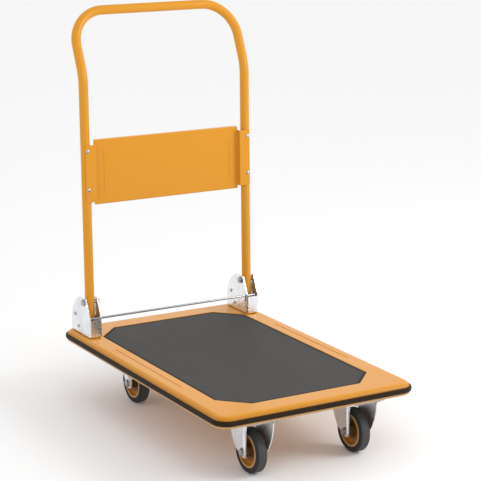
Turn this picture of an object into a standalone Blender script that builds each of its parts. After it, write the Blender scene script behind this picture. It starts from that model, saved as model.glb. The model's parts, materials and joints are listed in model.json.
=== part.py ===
"""Folding platform cart: pressed steel deck on four casters with a fold-down tube handle.

Metres, +Z up. The deck's front is +X, the handle stands at -X, +Y is the operator's left.
The origin is on the ground under the middle of the deck.
"""
import bpy
import bmesh
from math import atan2, cos, hypot, pi, radians, sin
from mathutils import Matrix, Vector

GAP = 0.0003                    # clearance kept between touching meshes

# deck
SKIRT_HALF_LENGTH = 0.3690
SKIRT_HALF_WIDTH = 0.2358
CORNER_RADIUS = 0.030
DECK_TOP = 0.1520
SKIRT_BOTTOM = 0.1262
EDGE_ROUNDING = 0.0115
SHEET = 0.0018
MAT_HALF_LENGTH = 0.3155
MAT_HALF_WIDTH = 0.1874
MAT_CHAMFER = 0.0553
MAT_RECESS = 0.0030
MAT_THICKNESS = 0.0020
GROOVE_Y = 0.2075
GROOVE_HALF_LENGTH = 0.150
GROOVE_RADIUS = 0.0028
GROOVE_DEPTH = 0.0008
BUMPER_Z = 0.1382
BUMPER_HEIGHT = 0.0115
BUMPER_BULGE = 0.0042
CHANNEL_WIDTH = 0.106
CHANNEL_HALF_LENGTH = 0.180
CHANNEL_BOTTOM = 0.1275
CHANNEL_SHEET = 0.0020

# hinge brackets
BRACKET_Y = 0.2070
BRACKET_WIDTH = 0.0310
BRACKET_PLATE = 0.0025
BRACKET_FRONT = -0.2525
BRACKET_BACK = -0.3475
BRACKET_WEB_TOP = 0.1950
BRACKET_TOP = 0.2420
PIVOT = Vector((-0.2834, 0.0, 0.2310))
PIVOT_BOLT_RADIUS = 0.0040
PIVOT_HEXAGON = (0.0072, 0.0040, 0.0055)     # corner radius, head height, nut height
LATCH_PIN = Vector((-0.3290, 0.0, 0.1950))
LATCH_PIN_RADIUS = 0.0025
PEG = Vector((-0.3125, 0.0, 0.1690))
PEG_RADIUS = 0.0020
BRACKET_BOLT_X = (-0.3360, -0.2680)

# release rod and latch levers
ROD = Vector((-0.2605, 0.0, 0.1970))
ROD_RADIUS = 0.0025
ROD_HALF_LENGTH = 0.2170
ROD_TRAVEL = radians(13.0)
SLOT_CLEARANCE = 0.0007
LEVER_THICKNESS = 0.0012
NOSE_BACK = -0.3010
NOSE_FRONT = -0.2970
NOSE_BOTTOM = 0.1720
NOSE_TOP = 0.1790
SPRING_WIRE = 0.0006
SPRING_RADIUS = 0.0042
SPRING_TURNS = 4

# handle, in its own frame: pivot at the origin, tube axis along +Z
HANDLE_LEAN = radians(1.56)
TUBE_RADIUS = 0.01075
TUBE_WALL = 0.0012
TAIL_LENGTH = 0.0500
STRAIGHT_LENGTH = 0.4924
BEND_RADIUS = 0.110
BEND_ANGLE = radians(22.7)
UPPER_LENGTH = 0.050
TOP_CORNER_RADIUS = 0.0795
TUBE_SIDES = 16
PANEL_SHEET = 0.0015
PANEL_LOW = 0.2235
PANEL_HIGH = 0.3710
PANEL_HALF_WIDTH = 0.1865
PANEL_FLANGE = 0.010
TAB_LOW = 0.2315
TAB_HIGH = 0.3620
TAB_END = 0.2125
RIVET_HEIGHTS = (0.2605, 0.3480)

# wheels and casters
WHEEL_RADIUS = 0.0475
WHEEL_HALF_WIDTH = 0.0120
TYRE_INNER = 0.0365
TYRE_SHOULDER = 0.0050
HUB_RADIUS = 0.0125
HUB_HALF_LENGTH = 0.0150
BUSH_RADIUS = 0.0072
AXLE_RADIUS = 0.0040
AXLE_HEXAGON = (0.0075, 0.0045, 0.0060)      # corner radius, head height, nut height
WHEEL_SEGMENTS = 32
CASTER_Y = 0.1260
FRONT_AXLE_X = 0.3030
KING_PIN_X = -0.2465
TRAIL = 0.0330
PLATE_THICKNESS = 0.0030
PLATE_TOP = CHANNEL_BOTTOM - GAP
PLATE_BOTTOM = PLATE_TOP - PLATE_THICKNESS
PLATE_HALF_WIDTH = 0.0380
FIXED_PLATE_HALF_LENGTH = 0.0620
SWIVEL_PLATE_HALF_LENGTH = 0.0500
FORK_SHEET = 0.0025
FORK_INNER = 0.0165            # from the wheel's middle plane to the inside of a leg
RIB_HEIGHT = 0.0030
KING_PIN_RADIUS = 0.0060
YOKE_TOP = 0.1080
YOKE_RADIUS = 0.0270
RACE_RADIUS = 0.0235

SIDES = (("left", 1), ("right", -1))


def clear_scene():
    for item in list(bpy.data.objects):
        bpy.data.objects.remove(item, do_unlink=True)


def make_material(name, colour, roughness, metallic=0.0):
    material = bpy.data.materials.new(name)
    material.use_nodes = True
    shader = material.node_tree.nodes["Principled BSDF"]
    shader.inputs["Base Color"].default_value = (*colour, 1.0)
    shader.inputs["Roughness"].default_value = roughness
    shader.inputs["Metallic"].default_value = metallic
    return material


def add_object(name, mesh, material=None, parent=None, location=(0, 0, 0)):
    item = bpy.data.objects.new(name, mesh)
    bpy.context.collection.objects.link(item)
    item.parent = parent
    item.location = location
    if material:
        mesh.materials.append(material)
    return item


def add_empty(name, location, rotation=(0, 0, 0), parent=None):
    empty = bpy.data.objects.new(name, None)
    bpy.context.collection.objects.link(empty)
    empty.parent = parent
    empty.location = location
    empty.rotation_euler = rotation
    empty.empty_display_size = 0.03
    return empty


def finish_mesh(bm, name, smooth=True):
    bmesh.ops.remove_doubles(bm, verts=bm.verts, dist=0.000001)
    bmesh.ops.recalc_face_normals(bm, faces=bm.faces)
    mesh = bpy.data.meshes.new(name)
    bm.to_mesh(mesh)
    bm.free()
    if smooth:
        mesh.shade_smooth()
        mesh.set_sharp_from_angle(angle=radians(30))
    return mesh


def prism(name, outline, low, high, axis="Z"):
    """A flat outline pushed along Z, Y or X from low to high."""
    place = {"Z": lambda u, v, w: (u, v, w),
             "Y": lambda u, v, w: (u, w, v),
             "X": lambda u, v, w: (w, u, v)}[axis]
    bm = bmesh.new()
    base = [bm.verts.new(place(u, v, low)) for u, v in outline]
    face = bm.faces.new(base)
    pushed = bmesh.ops.extrude_face_region(bm, geom=[face])["geom"]
    moved = [part for part in pushed if isinstance(part, bmesh.types.BMVert)]
    shift = Vector(place(0, 0, high - low))
    bmesh.ops.translate(bm, verts=moved, vec=shift)
    return finish_mesh(bm, name, smooth=False)


def box(name, low, high):
    outline = ((low[0], low[1]), (high[0], low[1]), (high[0], high[1]), (low[0], high[1]))
    return prism(name, outline, low[2], high[2])


def lathe(name, profile, axis="Z", segments=WHEEL_SEGMENTS):
    """A closed profile of (radius, height) pairs spun about Z, then laid along the axis."""
    bm = bmesh.new()
    points = [bm.verts.new((radius, 0, height)) for radius, height in profile]
    edges = [bm.edges.new(pair) for pair in zip(points, points[1:] + points[:1])]
    bmesh.ops.spin(bm, geom=points + edges, cent=(0, 0, 0), axis=(0, 0, 1),
                   angle=2 * pi, steps=segments, use_merge=True)
    if axis == "Y":
        bmesh.ops.rotate(bm, verts=bm.verts, matrix=Matrix.Rotation(-pi / 2, 3, "X"))
    return finish_mesh(bm, name)


def rod_profile(radius, low, high, bevel=0.0):
    return [(0, low), (radius - bevel, low), (radius, low + bevel),
            (radius, high - bevel), (radius - bevel, high), (0, high)]


def cut(target, cutter, operation="DIFFERENCE"):
    """Adds an exact Boolean; the cutter stays as a hidden wire guide."""
    cutter.hide_render = True
    cutter.display_type = "WIRE"
    modifier = target.modifiers.new(cutter.name, "BOOLEAN")
    modifier.operation = operation
    modifier.solver = "EXACT"
    modifier.object = cutter
    return modifier


def guide(name, mesh, parent=None, location=(0, 0, 0)):
    item = add_object(name, mesh, None, parent, location)
    item.hide_render = True
    item.display_type = "WIRE"
    return item


def arc(centre, radius, start, end, steps):
    return [(centre[0] + radius * cos(start + (end - start) * i / steps),
             centre[1] + radius * sin(start + (end - start) * i / steps))
            for i in range(steps + 1)]


def rounded_rectangle(half_x, half_y, radius, steps=5):
    outline = []
    for quarter in range(4):
        sign_x = 1 if quarter in (0, 3) else -1
        sign_y = 1 if quarter in (0, 1) else -1
        centre = (sign_x * (half_x - radius), sign_y * (half_y - radius))
        outline += arc(centre, radius, quarter * pi / 2, (quarter + 1) * pi / 2, steps)
    return outline


def chamfered_rectangle(half_x, half_y, chamfer):
    corner = ((half_x, half_y - chamfer), (half_x - chamfer, half_y))
    outline = list(corner)
    outline += [(-x, y) for x, y in reversed(corner)]
    outline += [(-x, -y) for x, y in corner]
    outline += [(x, -y) for x, y in reversed(corner)]
    return outline


def stacked_loops(name, loops, closed=False):
    """Joins loops of equal length, each a list of points, with quads; caps or closes the ends."""
    bm = bmesh.new()
    rows = [[bm.verts.new(point) for point in loop] for loop in loops]
    pairs = list(zip(rows, rows[1:])) + ([(rows[-1], rows[0])] if closed else [])
    for lower, upper in pairs:
        for i in range(len(lower)):
            k = (i + 1) % len(lower)
            bm.faces.new((lower[i], lower[k], upper[k], upper[i]))
    if not closed:
        bm.faces.new(list(reversed(rows[0])))
        bm.faces.new(rows[-1])
    return finish_mesh(bm, name)


def deck_block(name, shrink, bottom, top):
    """The deck's outer shape, or with a shrink the hollow under the sheet."""
    rounding = EDGE_ROUNDING - shrink
    half_x = SKIRT_HALF_LENGTH - shrink
    half_y = SKIRT_HALF_WIDTH - shrink
    corner = CORNER_RADIUS - shrink
    levels = [(0.0, bottom)]
    for step in range(5):
        angle = step / 4 * pi / 2
        levels.append((rounding * (1 - cos(angle)), top - rounding + rounding * sin(angle)))
    loops = []
    for inset, height in levels:
        outline = rounded_rectangle(half_x - inset, half_y - inset, corner - inset)
        loops.append([(x, y, height) for x, y in outline])
    return stacked_loops(name, loops)


def build_deck(paint):
    deck = add_object("deck", deck_block("deck", 0.0, SKIRT_BOTTOM, DECK_TOP), paint)
    recess = chamfered_rectangle(MAT_HALF_LENGTH, MAT_HALF_WIDTH, MAT_CHAMFER)
    floor = DECK_TOP - MAT_RECESS
    cut(deck, guide("deck_recess_guide", prism("recess", recess, floor, DECK_TOP + 0.01)))
    hollow = guide("deck_hollow_guide",
                   deck_block("hollow", SHEET, SKIRT_BOTTOM - 0.01, DECK_TOP - SHEET))
    wall = SHEET * 0.6
    shoulder = chamfered_rectangle(MAT_HALF_LENGTH + wall, MAT_HALF_WIDTH + wall, MAT_CHAMFER)
    cut(hollow, guide("deck_shoulder_guide",
                      prism("shoulder", shoulder, floor - SHEET, DECK_TOP + 0.01)))
    cut(deck, hollow)
    for side, sign in SIDES:
        outline = arc((GROOVE_HALF_LENGTH, sign * GROOVE_Y), GROOVE_RADIUS, -pi / 2, pi / 2, 4)
        outline += arc((-GROOVE_HALF_LENGTH, sign * GROOVE_Y), GROOVE_RADIUS, pi / 2, 1.5 * pi, 4)
        groove = prism("groove", outline, DECK_TOP - GROOVE_DEPTH, DECK_TOP + 0.01)
        cut(deck, guide("deck_groove_guide_" + side, groove))
        for number, x in enumerate(BRACKET_BOLT_X):
            hole = lathe("hole", rod_profile(0.0034, -0.02, 0.02), segments=12)
            place = (x, sign * BRACKET_Y, DECK_TOP)
            cut(deck, guide("deck_hole_guide_%s_%d" % (side, number), hole, None, place))
    return deck


def build_mat(vinyl):
    slack = 0.0010
    outline = chamfered_rectangle(MAT_HALF_LENGTH - slack, MAT_HALF_WIDTH - slack,
                                  MAT_CHAMFER - slack * 0.4)
    low = DECK_TOP - MAT_RECESS + GAP
    return add_object("deck_mat", prism("deck_mat", outline, low, low + MAT_THICKNESS), vinyl)


def build_bumper(rubber):
    half = BUMPER_HEIGHT / 2
    profile = [(GAP, -half), (GAP, half)]
    for step in range(7):
        angle = pi / 2 - step / 6 * pi
        profile.append((0.0012 + (BUMPER_BULGE - 0.0012) * cos(angle), half * sin(angle)))
    loops = []
    for offset, height in profile:
        outline = rounded_rectangle(SKIRT_HALF_LENGTH + offset, SKIRT_HALF_WIDTH + offset,
                                    CORNER_RADIUS + offset)
        loops.append([(x, y, BUMPER_Z + height) for x, y in outline])
    return add_object("edge_bumper", stacked_loops("edge_bumper", loops, closed=True), rubber)


def build_channels(paint):
    top = DECK_TOP - MAT_RECESS - SHEET - GAP
    half = CHANNEL_WIDTH / 2
    inner = half - CHANNEL_SHEET
    floor = CHANNEL_BOTTOM + CHANNEL_SHEET
    section = [(-half, top), (-half, CHANNEL_BOTTOM), (half, CHANNEL_BOTTOM), (half, top),
               (inner, top), (inner, floor), (-inner, floor), (-inner, top)]
    for name, x in (("front", FRONT_AXLE_X), ("rear", KING_PIN_X)):
        mesh = prism("channel", section, -CHANNEL_HALF_LENGTH, CHANNEL_HALF_LENGTH, "Y")
        add_object("cross_channel_" + name, mesh, paint, None, (x, 0, 0))


def bracket_outline():
    """Side view of a hinge bracket: upright at the back, a curved shoulder, a slanted front."""
    base = DECK_TOP + GAP
    top_back = (-0.3010, BRACKET_TOP)
    top_front = (-0.2760, BRACKET_TOP)
    outline = [(BRACKET_BACK, base), (BRACKET_FRONT, base),
               (BRACKET_FRONT, BRACKET_WEB_TOP + 0.003)]
    outline += arc((top_front[0], BRACKET_TOP - 0.004), 0.004, radians(25), pi / 2, 3)
    outline.append(top_back)
    centre = (-0.2840, 0.1770)
    radius = hypot(top_back[0] - centre[0], top_back[1] - centre[1])
    start = atan2(top_back[1] - centre[1], top_back[0] - centre[0])
    squash = (centre[0] - BRACKET_BACK) / radius
    for x, z in arc(centre, radius, start, pi, 8)[1:]:
        blend = (start - atan2(z - centre[1], x - centre[0])) / (start - pi)
        outline.append((centre[0] + (x - centre[0]) * (1 + (squash - 1) * blend), z))
    return outline


def pin_hole(target, name, place, pin_radius, reach):
    mesh = lathe("hole", rod_profile(pin_radius + GAP, -reach, reach), "Y", 14)
    cut(target, guide(name, mesh, None, place))


def slot_outline():
    """The arc that the release rod sweeps about the latch pin, widened by its clearance."""
    reach = ROD - LATCH_PIN
    radius = hypot(reach.x, reach.z)
    start = atan2(reach.z, reach.x)
    width = ROD_RADIUS + SLOT_CLEARANCE
    centre = (LATCH_PIN.x, LATCH_PIN.z)
    upper = (centre[0] + radius * cos(start), centre[1] + radius * sin(start))
    end = start - ROD_TRAVEL
    lower = (centre[0] + radius * cos(end), centre[1] + radius * sin(end))
    outline = arc(centre, radius + width, end, start, 4)
    outline += arc(upper, width, start, start + pi, 6)[1:-1]
    outline += arc(centre, radius - width, start, end, 4)
    outline += arc(lower, width, end + pi, end + 2 * pi, 6)[1:-1]
    return outline


def build_bracket(side, sign, zinc):
    name = "hinge_bracket_" + side
    middle = sign * BRACKET_Y
    half = BRACKET_WIDTH / 2
    inner = half - BRACKET_PLATE
    base = DECK_TOP + GAP
    mesh = prism(name, bracket_outline(), middle - half, middle + half, "Y")
    bracket = add_object(name, mesh, zinc)
    edges = bracket.modifiers.new("rounded_edges", "BEVEL")
    edges.width = 0.0012
    edges.segments = 2
    edges.limit_method = "ANGLE"
    edges.angle_limit = radians(50)
    hollow = box("hollow", (BRACKET_BACK - 0.01, middle - inner, base + BRACKET_PLATE),
                 (BRACKET_FRONT - BRACKET_PLATE, middle + inner, BRACKET_TOP + 0.01))
    cut(bracket, guide(name + "_hollow_guide", hollow))
    window = box("window", (BRACKET_FRONT - 0.02, middle - inner, BRACKET_WEB_TOP),
                 (BRACKET_FRONT + 0.01, middle + inner, BRACKET_TOP + 0.01))
    cut(bracket, guide(name + "_window_guide", window))
    reach = half + 0.01
    centre = Vector((0, middle, 0))
    pin_hole(bracket, name + "_pivot_guide", PIVOT + centre, PIVOT_BOLT_RADIUS, reach)
    pin_hole(bracket, name + "_pin_guide", LATCH_PIN + centre, LATCH_PIN_RADIUS, reach)
    pin_hole(bracket, name + "_peg_guide", PEG + centre, PEG_RADIUS, reach)
    near = middle - sign * half
    slot_ends = sorted((near - sign * 0.005, near + sign * (BRACKET_PLATE + 0.003)))
    cut(bracket, guide(name + "_slot_guide", prism("slot", slot_outline(), *slot_ends, "Y")))
    for number, x in enumerate(BRACKET_BOLT_X):
        hole = lathe("hole", rod_profile(0.0034, -0.01, 0.01), segments=12)
        cut(bracket, guide("%s_bolt_guide_%d" % (name, number), hole, None, (x, middle, base)))
    return bracket


def hexagon(radius):
    return [(radius * cos(i * pi / 3), radius * sin(i * pi / 3)) for i in range(6)]


def fastener(name, radius, reach, size, material, parent=None, location=(0, 0, 0), flip=1):
    """A bolt along Y with its bearing faces at -reach and reach: a nut at one, a head at the other.

    size is the hexagon's corner radius, the head's height and the nut's height.
    """
    corner, head_height, nut_height = size
    ends = sorted((flip * (-reach - nut_height - 0.0015), flip * (reach + head_height / 2)))
    shank = lathe(name, rod_profile(radius, *ends), "Y", 14)
    bolt = add_object(name, shank, material, parent, location)
    spans = {"head": (reach, reach + head_height), "nut": (-reach - nut_height, -reach)}
    for label, span in spans.items():
        mesh = prism(label, hexagon(corner), *sorted(flip * value for value in span), "Y")
        cut(bolt, guide("%s_%s_guide" % (name, label), mesh, parent, location), "UNION")
    return bolt


def build_bracket_hardware(side, sign, zinc):
    middle = sign * BRACKET_Y
    half = BRACKET_WIDTH / 2
    centre = Vector((0, middle, 0))
    fastener("pivot_bolt_" + side, PIVOT_BOLT_RADIUS, half + GAP, PIVOT_HEXAGON, zinc, None,
             PIVOT + centre, sign)
    for label, place, radius in (("latch_pin_", LATCH_PIN, LATCH_PIN_RADIUS),
                                 ("spring_peg_", PEG, PEG_RADIUS)):
        end = half + GAP
        cap = radius + 0.0016
        profile = [(0, -end - 0.0018), (cap - 0.0008, -end - 0.0018), (cap, -end - 0.0008),
                   (cap, -end), (radius, -end), (radius, end), (cap, end),
                   (cap, end + 0.0008), (cap - 0.0008, end + 0.0018), (0, end + 0.0018)]
        add_object(label + side, lathe(label, profile, "Y", 14), zinc, None, place + centre)
    floor = DECK_TOP + GAP + BRACKET_PLATE + GAP
    low = DECK_TOP - SHEET - GAP - 0.0075
    for number, x in enumerate(BRACKET_BOLT_X):
        label = "bracket_bolt_%s_%s" % (side, ("rear", "front")[number])
        shank = lathe(label, rod_profile(0.0030, low, floor), segments=12)
        bolt = add_object(label, shank, zinc, None, (x, middle, 0))
        head = prism("head", hexagon(0.0058), floor, floor + 0.0040)
        cut(bolt, guide(label + "_head_guide", head, None, (x, middle, 0)), "UNION")
        nut = prism("nut", hexagon(0.0058), low + 0.0010, low + 0.0072)
        cut(bolt, guide(label + "_nut_guide", nut, None, (x, middle, 0)), "UNION")


def lever_outline():
    """Side view of a latch lever: an eye on the pin, a narrow arm, an eye on the rod."""
    pin = (LATCH_PIN.x, LATCH_PIN.z)
    rod = (ROD.x, ROD.z)
    slope = atan2(rod[1] - pin[1], rod[0] - pin[0])
    outline = arc(pin, 0.0058, slope + radians(40), slope + radians(320), 12)
    outline.append((NOSE_BACK - 0.003, 0.1860))
    outline.append((NOSE_BACK, NOSE_BOTTOM))
    outline.append((NOSE_FRONT, NOSE_BOTTOM))
    outline.append((NOSE_FRONT + 0.004, 0.1880))
    outline += arc(rod, 0.0045, slope - radians(130), slope + radians(130), 10)
    return outline


def build_latch(zinc, steel):
    hinge = add_empty("release_hinge", LATCH_PIN)
    back = Matrix.Translation(-LATCH_PIN)
    for side, sign in SIDES:
        inner = BRACKET_Y - BRACKET_WIDTH / 2 + BRACKET_PLATE
        near = inner + 0.0005
        far = near + LEVER_THICKNESS
        low, high = sorted((sign * near, sign * far))
        name = "latch_lever_" + side
        mesh = prism(name, lever_outline(), low, high, "Y")
        mesh.transform(back)
        lever = add_object(name, mesh, zinc, hinge)
        low, high = sorted((sign * (near + 0.0004), sign * (BRACKET_Y + 0.0080)))
        nose = box("nose", (NOSE_BACK, low, NOSE_BOTTOM), (NOSE_FRONT, high, NOSE_TOP))
        nose.transform(back)
        cut(lever, guide(name + "_nose_guide", nose, hinge), "UNION")
        for label, place, radius in (("pin", LATCH_PIN, LATCH_PIN_RADIUS),
                                     ("rod", ROD, ROD_RADIUS)):
            hole = lathe("hole", rod_profile(radius + GAP, -0.01, 0.01), "Y", 14)
            offset = place - LATCH_PIN + Vector((0, sign * near, 0))
            cut(lever, guide("%s_%s_guide" % (name, label), hole, hinge, offset))
        build_spring(side, sign, steel)
    profile = rod_profile(ROD_RADIUS, -ROD_HALF_LENGTH, ROD_HALF_LENGTH, 0.0006)
    add_object("release_rod", lathe("release_rod", profile, "Y", 14), steel, hinge, ROD - LATCH_PIN)


def build_spring(side, sign, steel):
    """A torsion spring on the latch pin: one leg on the peg, one under the lever."""
    start = BRACKET_Y - 0.0050
    pitch = 0.0016
    peg_angle = atan2(PEG.z - LATCH_PIN.z, PEG.x - LATCH_PIN.x)
    first = peg_angle + radians(52)
    total = SPRING_TURNS * 2 * pi + radians(60)
    steps = SPRING_TURNS * 14 + 4
    points = []
    for i in range(steps + 1):
        turn = total * i / steps
        points.append(Vector((SPRING_RADIUS * cos(first + turn),
                              sign * (start + pitch * turn / (2 * pi)),
                              SPRING_RADIUS * sin(first + turn))))
    tangent_in = Vector((sin(first), 0, -cos(first)))
    tangent_out = Vector((-sin(first + total), 0, cos(first + total)))
    points.insert(0, points[0] + tangent_in * 0.022)
    points.append(points[-1] + tangent_out * 0.012)
    curve = bpy.data.curves.new("latch_spring_" + side, "CURVE")
    curve.dimensions = "3D"
    curve.bevel_depth = SPRING_WIRE
    curve.bevel_resolution = 1
    curve.use_fill_caps = True
    line = curve.splines.new("POLY")
    line.points.add(len(points) - 1)
    for point, place in zip(line.points, points):
        point.co = (*place, 1)
    add_object("latch_spring_" + side, curve, steel, None, LATCH_PIN)


def handle_path():
    """Centre line of the handle tube from the left tail over the top to the right tail."""
    half = [Vector((0, BRACKET_Y, -TAIL_LENGTH)), Vector((0, BRACKET_Y, PANEL_LOW)),
            Vector((0, BRACKET_Y, STRAIGHT_LENGTH))]
    steps = 6
    for i in range(1, steps + 1):
        angle = BEND_ANGLE * i / steps
        half.append(Vector((-BEND_RADIUS * (1 - cos(angle)), BRACKET_Y,
                            STRAIGHT_LENGTH + BEND_RADIUS * sin(angle))))
    along = Vector((-sin(BEND_ANGLE), 0, cos(BEND_ANGLE)))
    corner = half[-1] + along * UPPER_LENGTH
    half.append(corner)
    steps = 9
    for i in range(1, steps + 1):
        angle = pi / 2 * i / steps
        half.append(corner + along * TOP_CORNER_RADIUS * sin(angle)
                    - Vector((0, TOP_CORNER_RADIUS * (1 - cos(angle)), 0)))
    other = [Vector((point.x, -point.y, point.z)) for point in reversed(half)]
    return half + other


def tube_mesh(name, points, radius, wall, sides):
    """A hollow tube along a path: rings square to it, an outer and an inner skin, open ends."""
    directions = [(points[min(i + 1, len(points) - 1)] - points[max(i - 1, 0)]).normalized()
                  for i in range(len(points))]
    side = Vector((1, 0, 0))
    rings = {radius: [], radius - wall: []}
    for point, along in zip(points, directions):
        side = (side - along * side.dot(along)).normalized()
        across = along.cross(side)
        for size, rows in rings.items():
            rows.append([point + size * (side * cos(2 * pi * k / sides)
                                         + across * sin(2 * pi * k / sides))
                         for k in range(sides)])
    loops = rings[radius] + list(reversed(rings[radius - wall]))
    return stacked_loops(name, loops, closed=True)


def build_panel(paint, frame):
    """The sign panel: a sheet with folded upper and lower edges and a tab over each tube."""
    half = PANEL_SHEET / 2
    name = "back_panel"
    sheet = box(name, (-half, -PANEL_HALF_WIDTH, PANEL_LOW), (half, PANEL_HALF_WIDTH, PANEL_HIGH))
    panel = add_object(name, sheet, paint, frame)
    for label, low in (("lower", PANEL_LOW), ("upper", PANEL_HIGH - PANEL_SHEET)):
        flange = box("flange", (-PANEL_FLANGE, -PANEL_HALF_WIDTH + 0.002, low),
                     (half - 0.0002, PANEL_HALF_WIDTH - 0.002, low + PANEL_SHEET))
        cut(panel, guide("panel_%s_flange_guide" % label, flange, frame), "UNION")
    front = TUBE_RADIUS + GAP
    for side, sign in SIDES:
        start = sign * (PANEL_HALF_WIDTH - PANEL_SHEET)
        outer = sign * PANEL_HALF_WIDTH
        end = sign * TAB_END
        outline = [(-half + 0.0002, start), (front + PANEL_SHEET, start),
                   (front + PANEL_SHEET, end), (front, end), (front, outer),
                   (-half + 0.0002, outer)]
        tab = prism("tab", outline, TAB_LOW, TAB_HIGH)
        cut(panel, guide("panel_tab_guide_" + side, tab, frame), "UNION")
        for number, height in enumerate(RIVET_HEIGHTS):
            hole = lathe("hole", rod_profile(0.0024, -0.004, 0.004), segments=12)
            hole.transform(Matrix.Rotation(pi / 2, 4, "Y"))
            place = (front + half, sign * BRACKET_Y, height)
            cut(panel, guide("panel_hole_guide_%s_%d" % (side, number), hole, frame, place))
    return panel


def build_rivets(steel, frame):
    """Rivets through the tabs into the front of the tubes."""
    seat = TUBE_RADIUS + GAP + PANEL_SHEET + GAP
    stem = 0.0021
    head = 0.0042
    profile = [(0, TUBE_RADIUS - TUBE_WALL - 0.0035), (stem, TUBE_RADIUS - TUBE_WALL - 0.0035),
               (stem, seat), (head, seat), (head * 0.92, seat + 0.0007),
               (head * 0.62, seat + 0.0014), (0, seat + 0.0018)]
    for side, sign in SIDES:
        for label, height in zip(("lower", "upper"), RIVET_HEIGHTS):
            mesh = lathe("rivet", profile, segments=14)
            mesh.transform(Matrix.Rotation(pi / 2, 4, "Y"))
            add_object("panel_rivet_%s_%s" % (side, label), mesh, steel, frame,
                       (0, sign * BRACKET_Y, height))


def build_handle(paint, black, steel):
    frame = add_empty("handle_hinge", PIVOT, (0, -HANDLE_LEAN, 0))
    mesh = tube_mesh("handle_tube", handle_path(), TUBE_RADIUS, TUBE_WALL, TUBE_SIDES)
    tube = add_object("handle_tube", mesh, paint, frame)
    for side, sign in SIDES:
        reach = TUBE_RADIUS + 0.005
        hole = lathe("hole", rod_profile(PIVOT_BOLT_RADIUS + GAP, -reach, reach), "Y", 14)
        cut(tube, guide("tube_pivot_guide_" + side, hole, frame, (0, sign * BRACKET_Y, 0)))
        for number, height in enumerate(RIVET_HEIGHTS):
            hole = lathe("hole", rod_profile(0.0024, -0.004, 0.004), segments=12)
            hole.transform(Matrix.Rotation(pi / 2, 4, "Y"))
            place = (TUBE_RADIUS, sign * BRACKET_Y, height)
            cut(tube, guide("tube_rivet_guide_%s_%d" % (side, number), hole, frame, place))
        inside = TUBE_RADIUS - TUBE_WALL - GAP
        low = -TAIL_LENGTH
        profile = [(0, low - 0.0016), (TUBE_RADIUS - 0.0022, low - 0.0016),
                   (TUBE_RADIUS - 0.0008, low - GAP), (inside, low - GAP), (inside, low + 0.012),
                   (0, low + 0.012)]
        add_object("tube_plug_" + side, lathe("tube_plug", profile, segments=16), black, frame,
                   (0, sign * BRACKET_Y, 0))
    build_panel(paint, frame)
    build_rivets(steel, frame)


def tyre_profile():
    outer = WHEEL_RADIUS
    half = WHEEL_HALF_WIDTH
    shoulder = TYRE_SHOULDER
    profile = [(TYRE_INNER, -half + 0.0015), (TYRE_INNER + 0.0015, -half)]
    profile += arc((outer - shoulder, -half + shoulder), shoulder, -pi / 2, 0, 3)
    profile += arc((outer - shoulder, half - shoulder), shoulder, 0, pi / 2, 3)
    profile += [(TYRE_INNER + 0.0015, half), (TYRE_INNER, half - 0.0015)]
    return profile


def core_profile():
    rim = TYRE_INNER - GAP
    half = WHEEL_HALF_WIDTH - 0.0005
    rim_inner = rim - 0.0048
    bore = BUSH_RADIUS + GAP
    web = 0.0030
    upper = [(rim, half - 0.0012), (rim - 0.0012, half), (rim_inner + 0.0008, half),
             (rim_inner, half - 0.0012), (rim_inner - 0.0040, web), (HUB_RADIUS + 0.0020, web),
             (HUB_RADIUS, web + 0.003), (HUB_RADIUS - 0.0008, HUB_HALF_LENGTH),
             (bore, HUB_HALF_LENGTH)]
    return upper + [(radius, -height) for radius, height in reversed(upper)]


def build_wheel(label, plastic, rubber, zinc, centre, parent):
    axle = add_empty("axle_" + label, centre, (0, 0, 0), parent)
    add_object("wheel_core_" + label, lathe("wheel_core", core_profile(), "Y"), plastic, axle)
    add_object("tyre_" + label, lathe("tyre", tyre_profile(), "Y"), rubber, axle)
    bore = AXLE_RADIUS + GAP
    end = HUB_HALF_LENGTH + 0.0006
    profile = [(bore, -end), (BUSH_RADIUS, -end), (BUSH_RADIUS, end), (bore, end)]
    add_object("wheel_bush_" + label, lathe("bush", profile, "Y", 20), zinc, axle)


def build_axle_bolt(label, zinc, centre, parent, sign):
    end = FORK_INNER + FORK_SHEET + RIB_HEIGHT + GAP
    fastener("axle_bolt_" + label, AXLE_RADIUS, end, AXLE_HEXAGON, zinc, parent, centre, sign)


def fixed_leg_outline(top):
    """Side view of a fixed fork's leg, from its axle: one upright edge, one swept edge."""
    axle = WHEEL_RADIUS
    outline = [(0.0095, top), (-0.0600, top), (-0.0565, 0.1000), (-0.0510, 0.0800),
               (-0.0420, 0.0610), (-0.0310, 0.0470)]
    outline += arc((0, axle), 0.0140, radians(225), radians(312), 6)
    return outline


def fork_leg(name, outline, sign, parent, place, rib):
    """A pressed leg: its sheet beside the wheel, with a raised rib that runs down to the axle."""
    low, high = sorted((sign * FORK_INNER, sign * (FORK_INNER + FORK_SHEET)))
    leg = guide(name, prism("leg", outline, low, high, "Y"), parent, place)
    outer = FORK_INNER + FORK_SHEET
    low, high = sorted((sign * (outer - 0.0005), sign * (outer + RIB_HEIGHT)))
    rib_mesh = prism("rib", rib, low, high, "Y")
    cut(leg, guide(name + "_rib", rib_mesh, parent, place), "UNION")
    return leg


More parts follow.
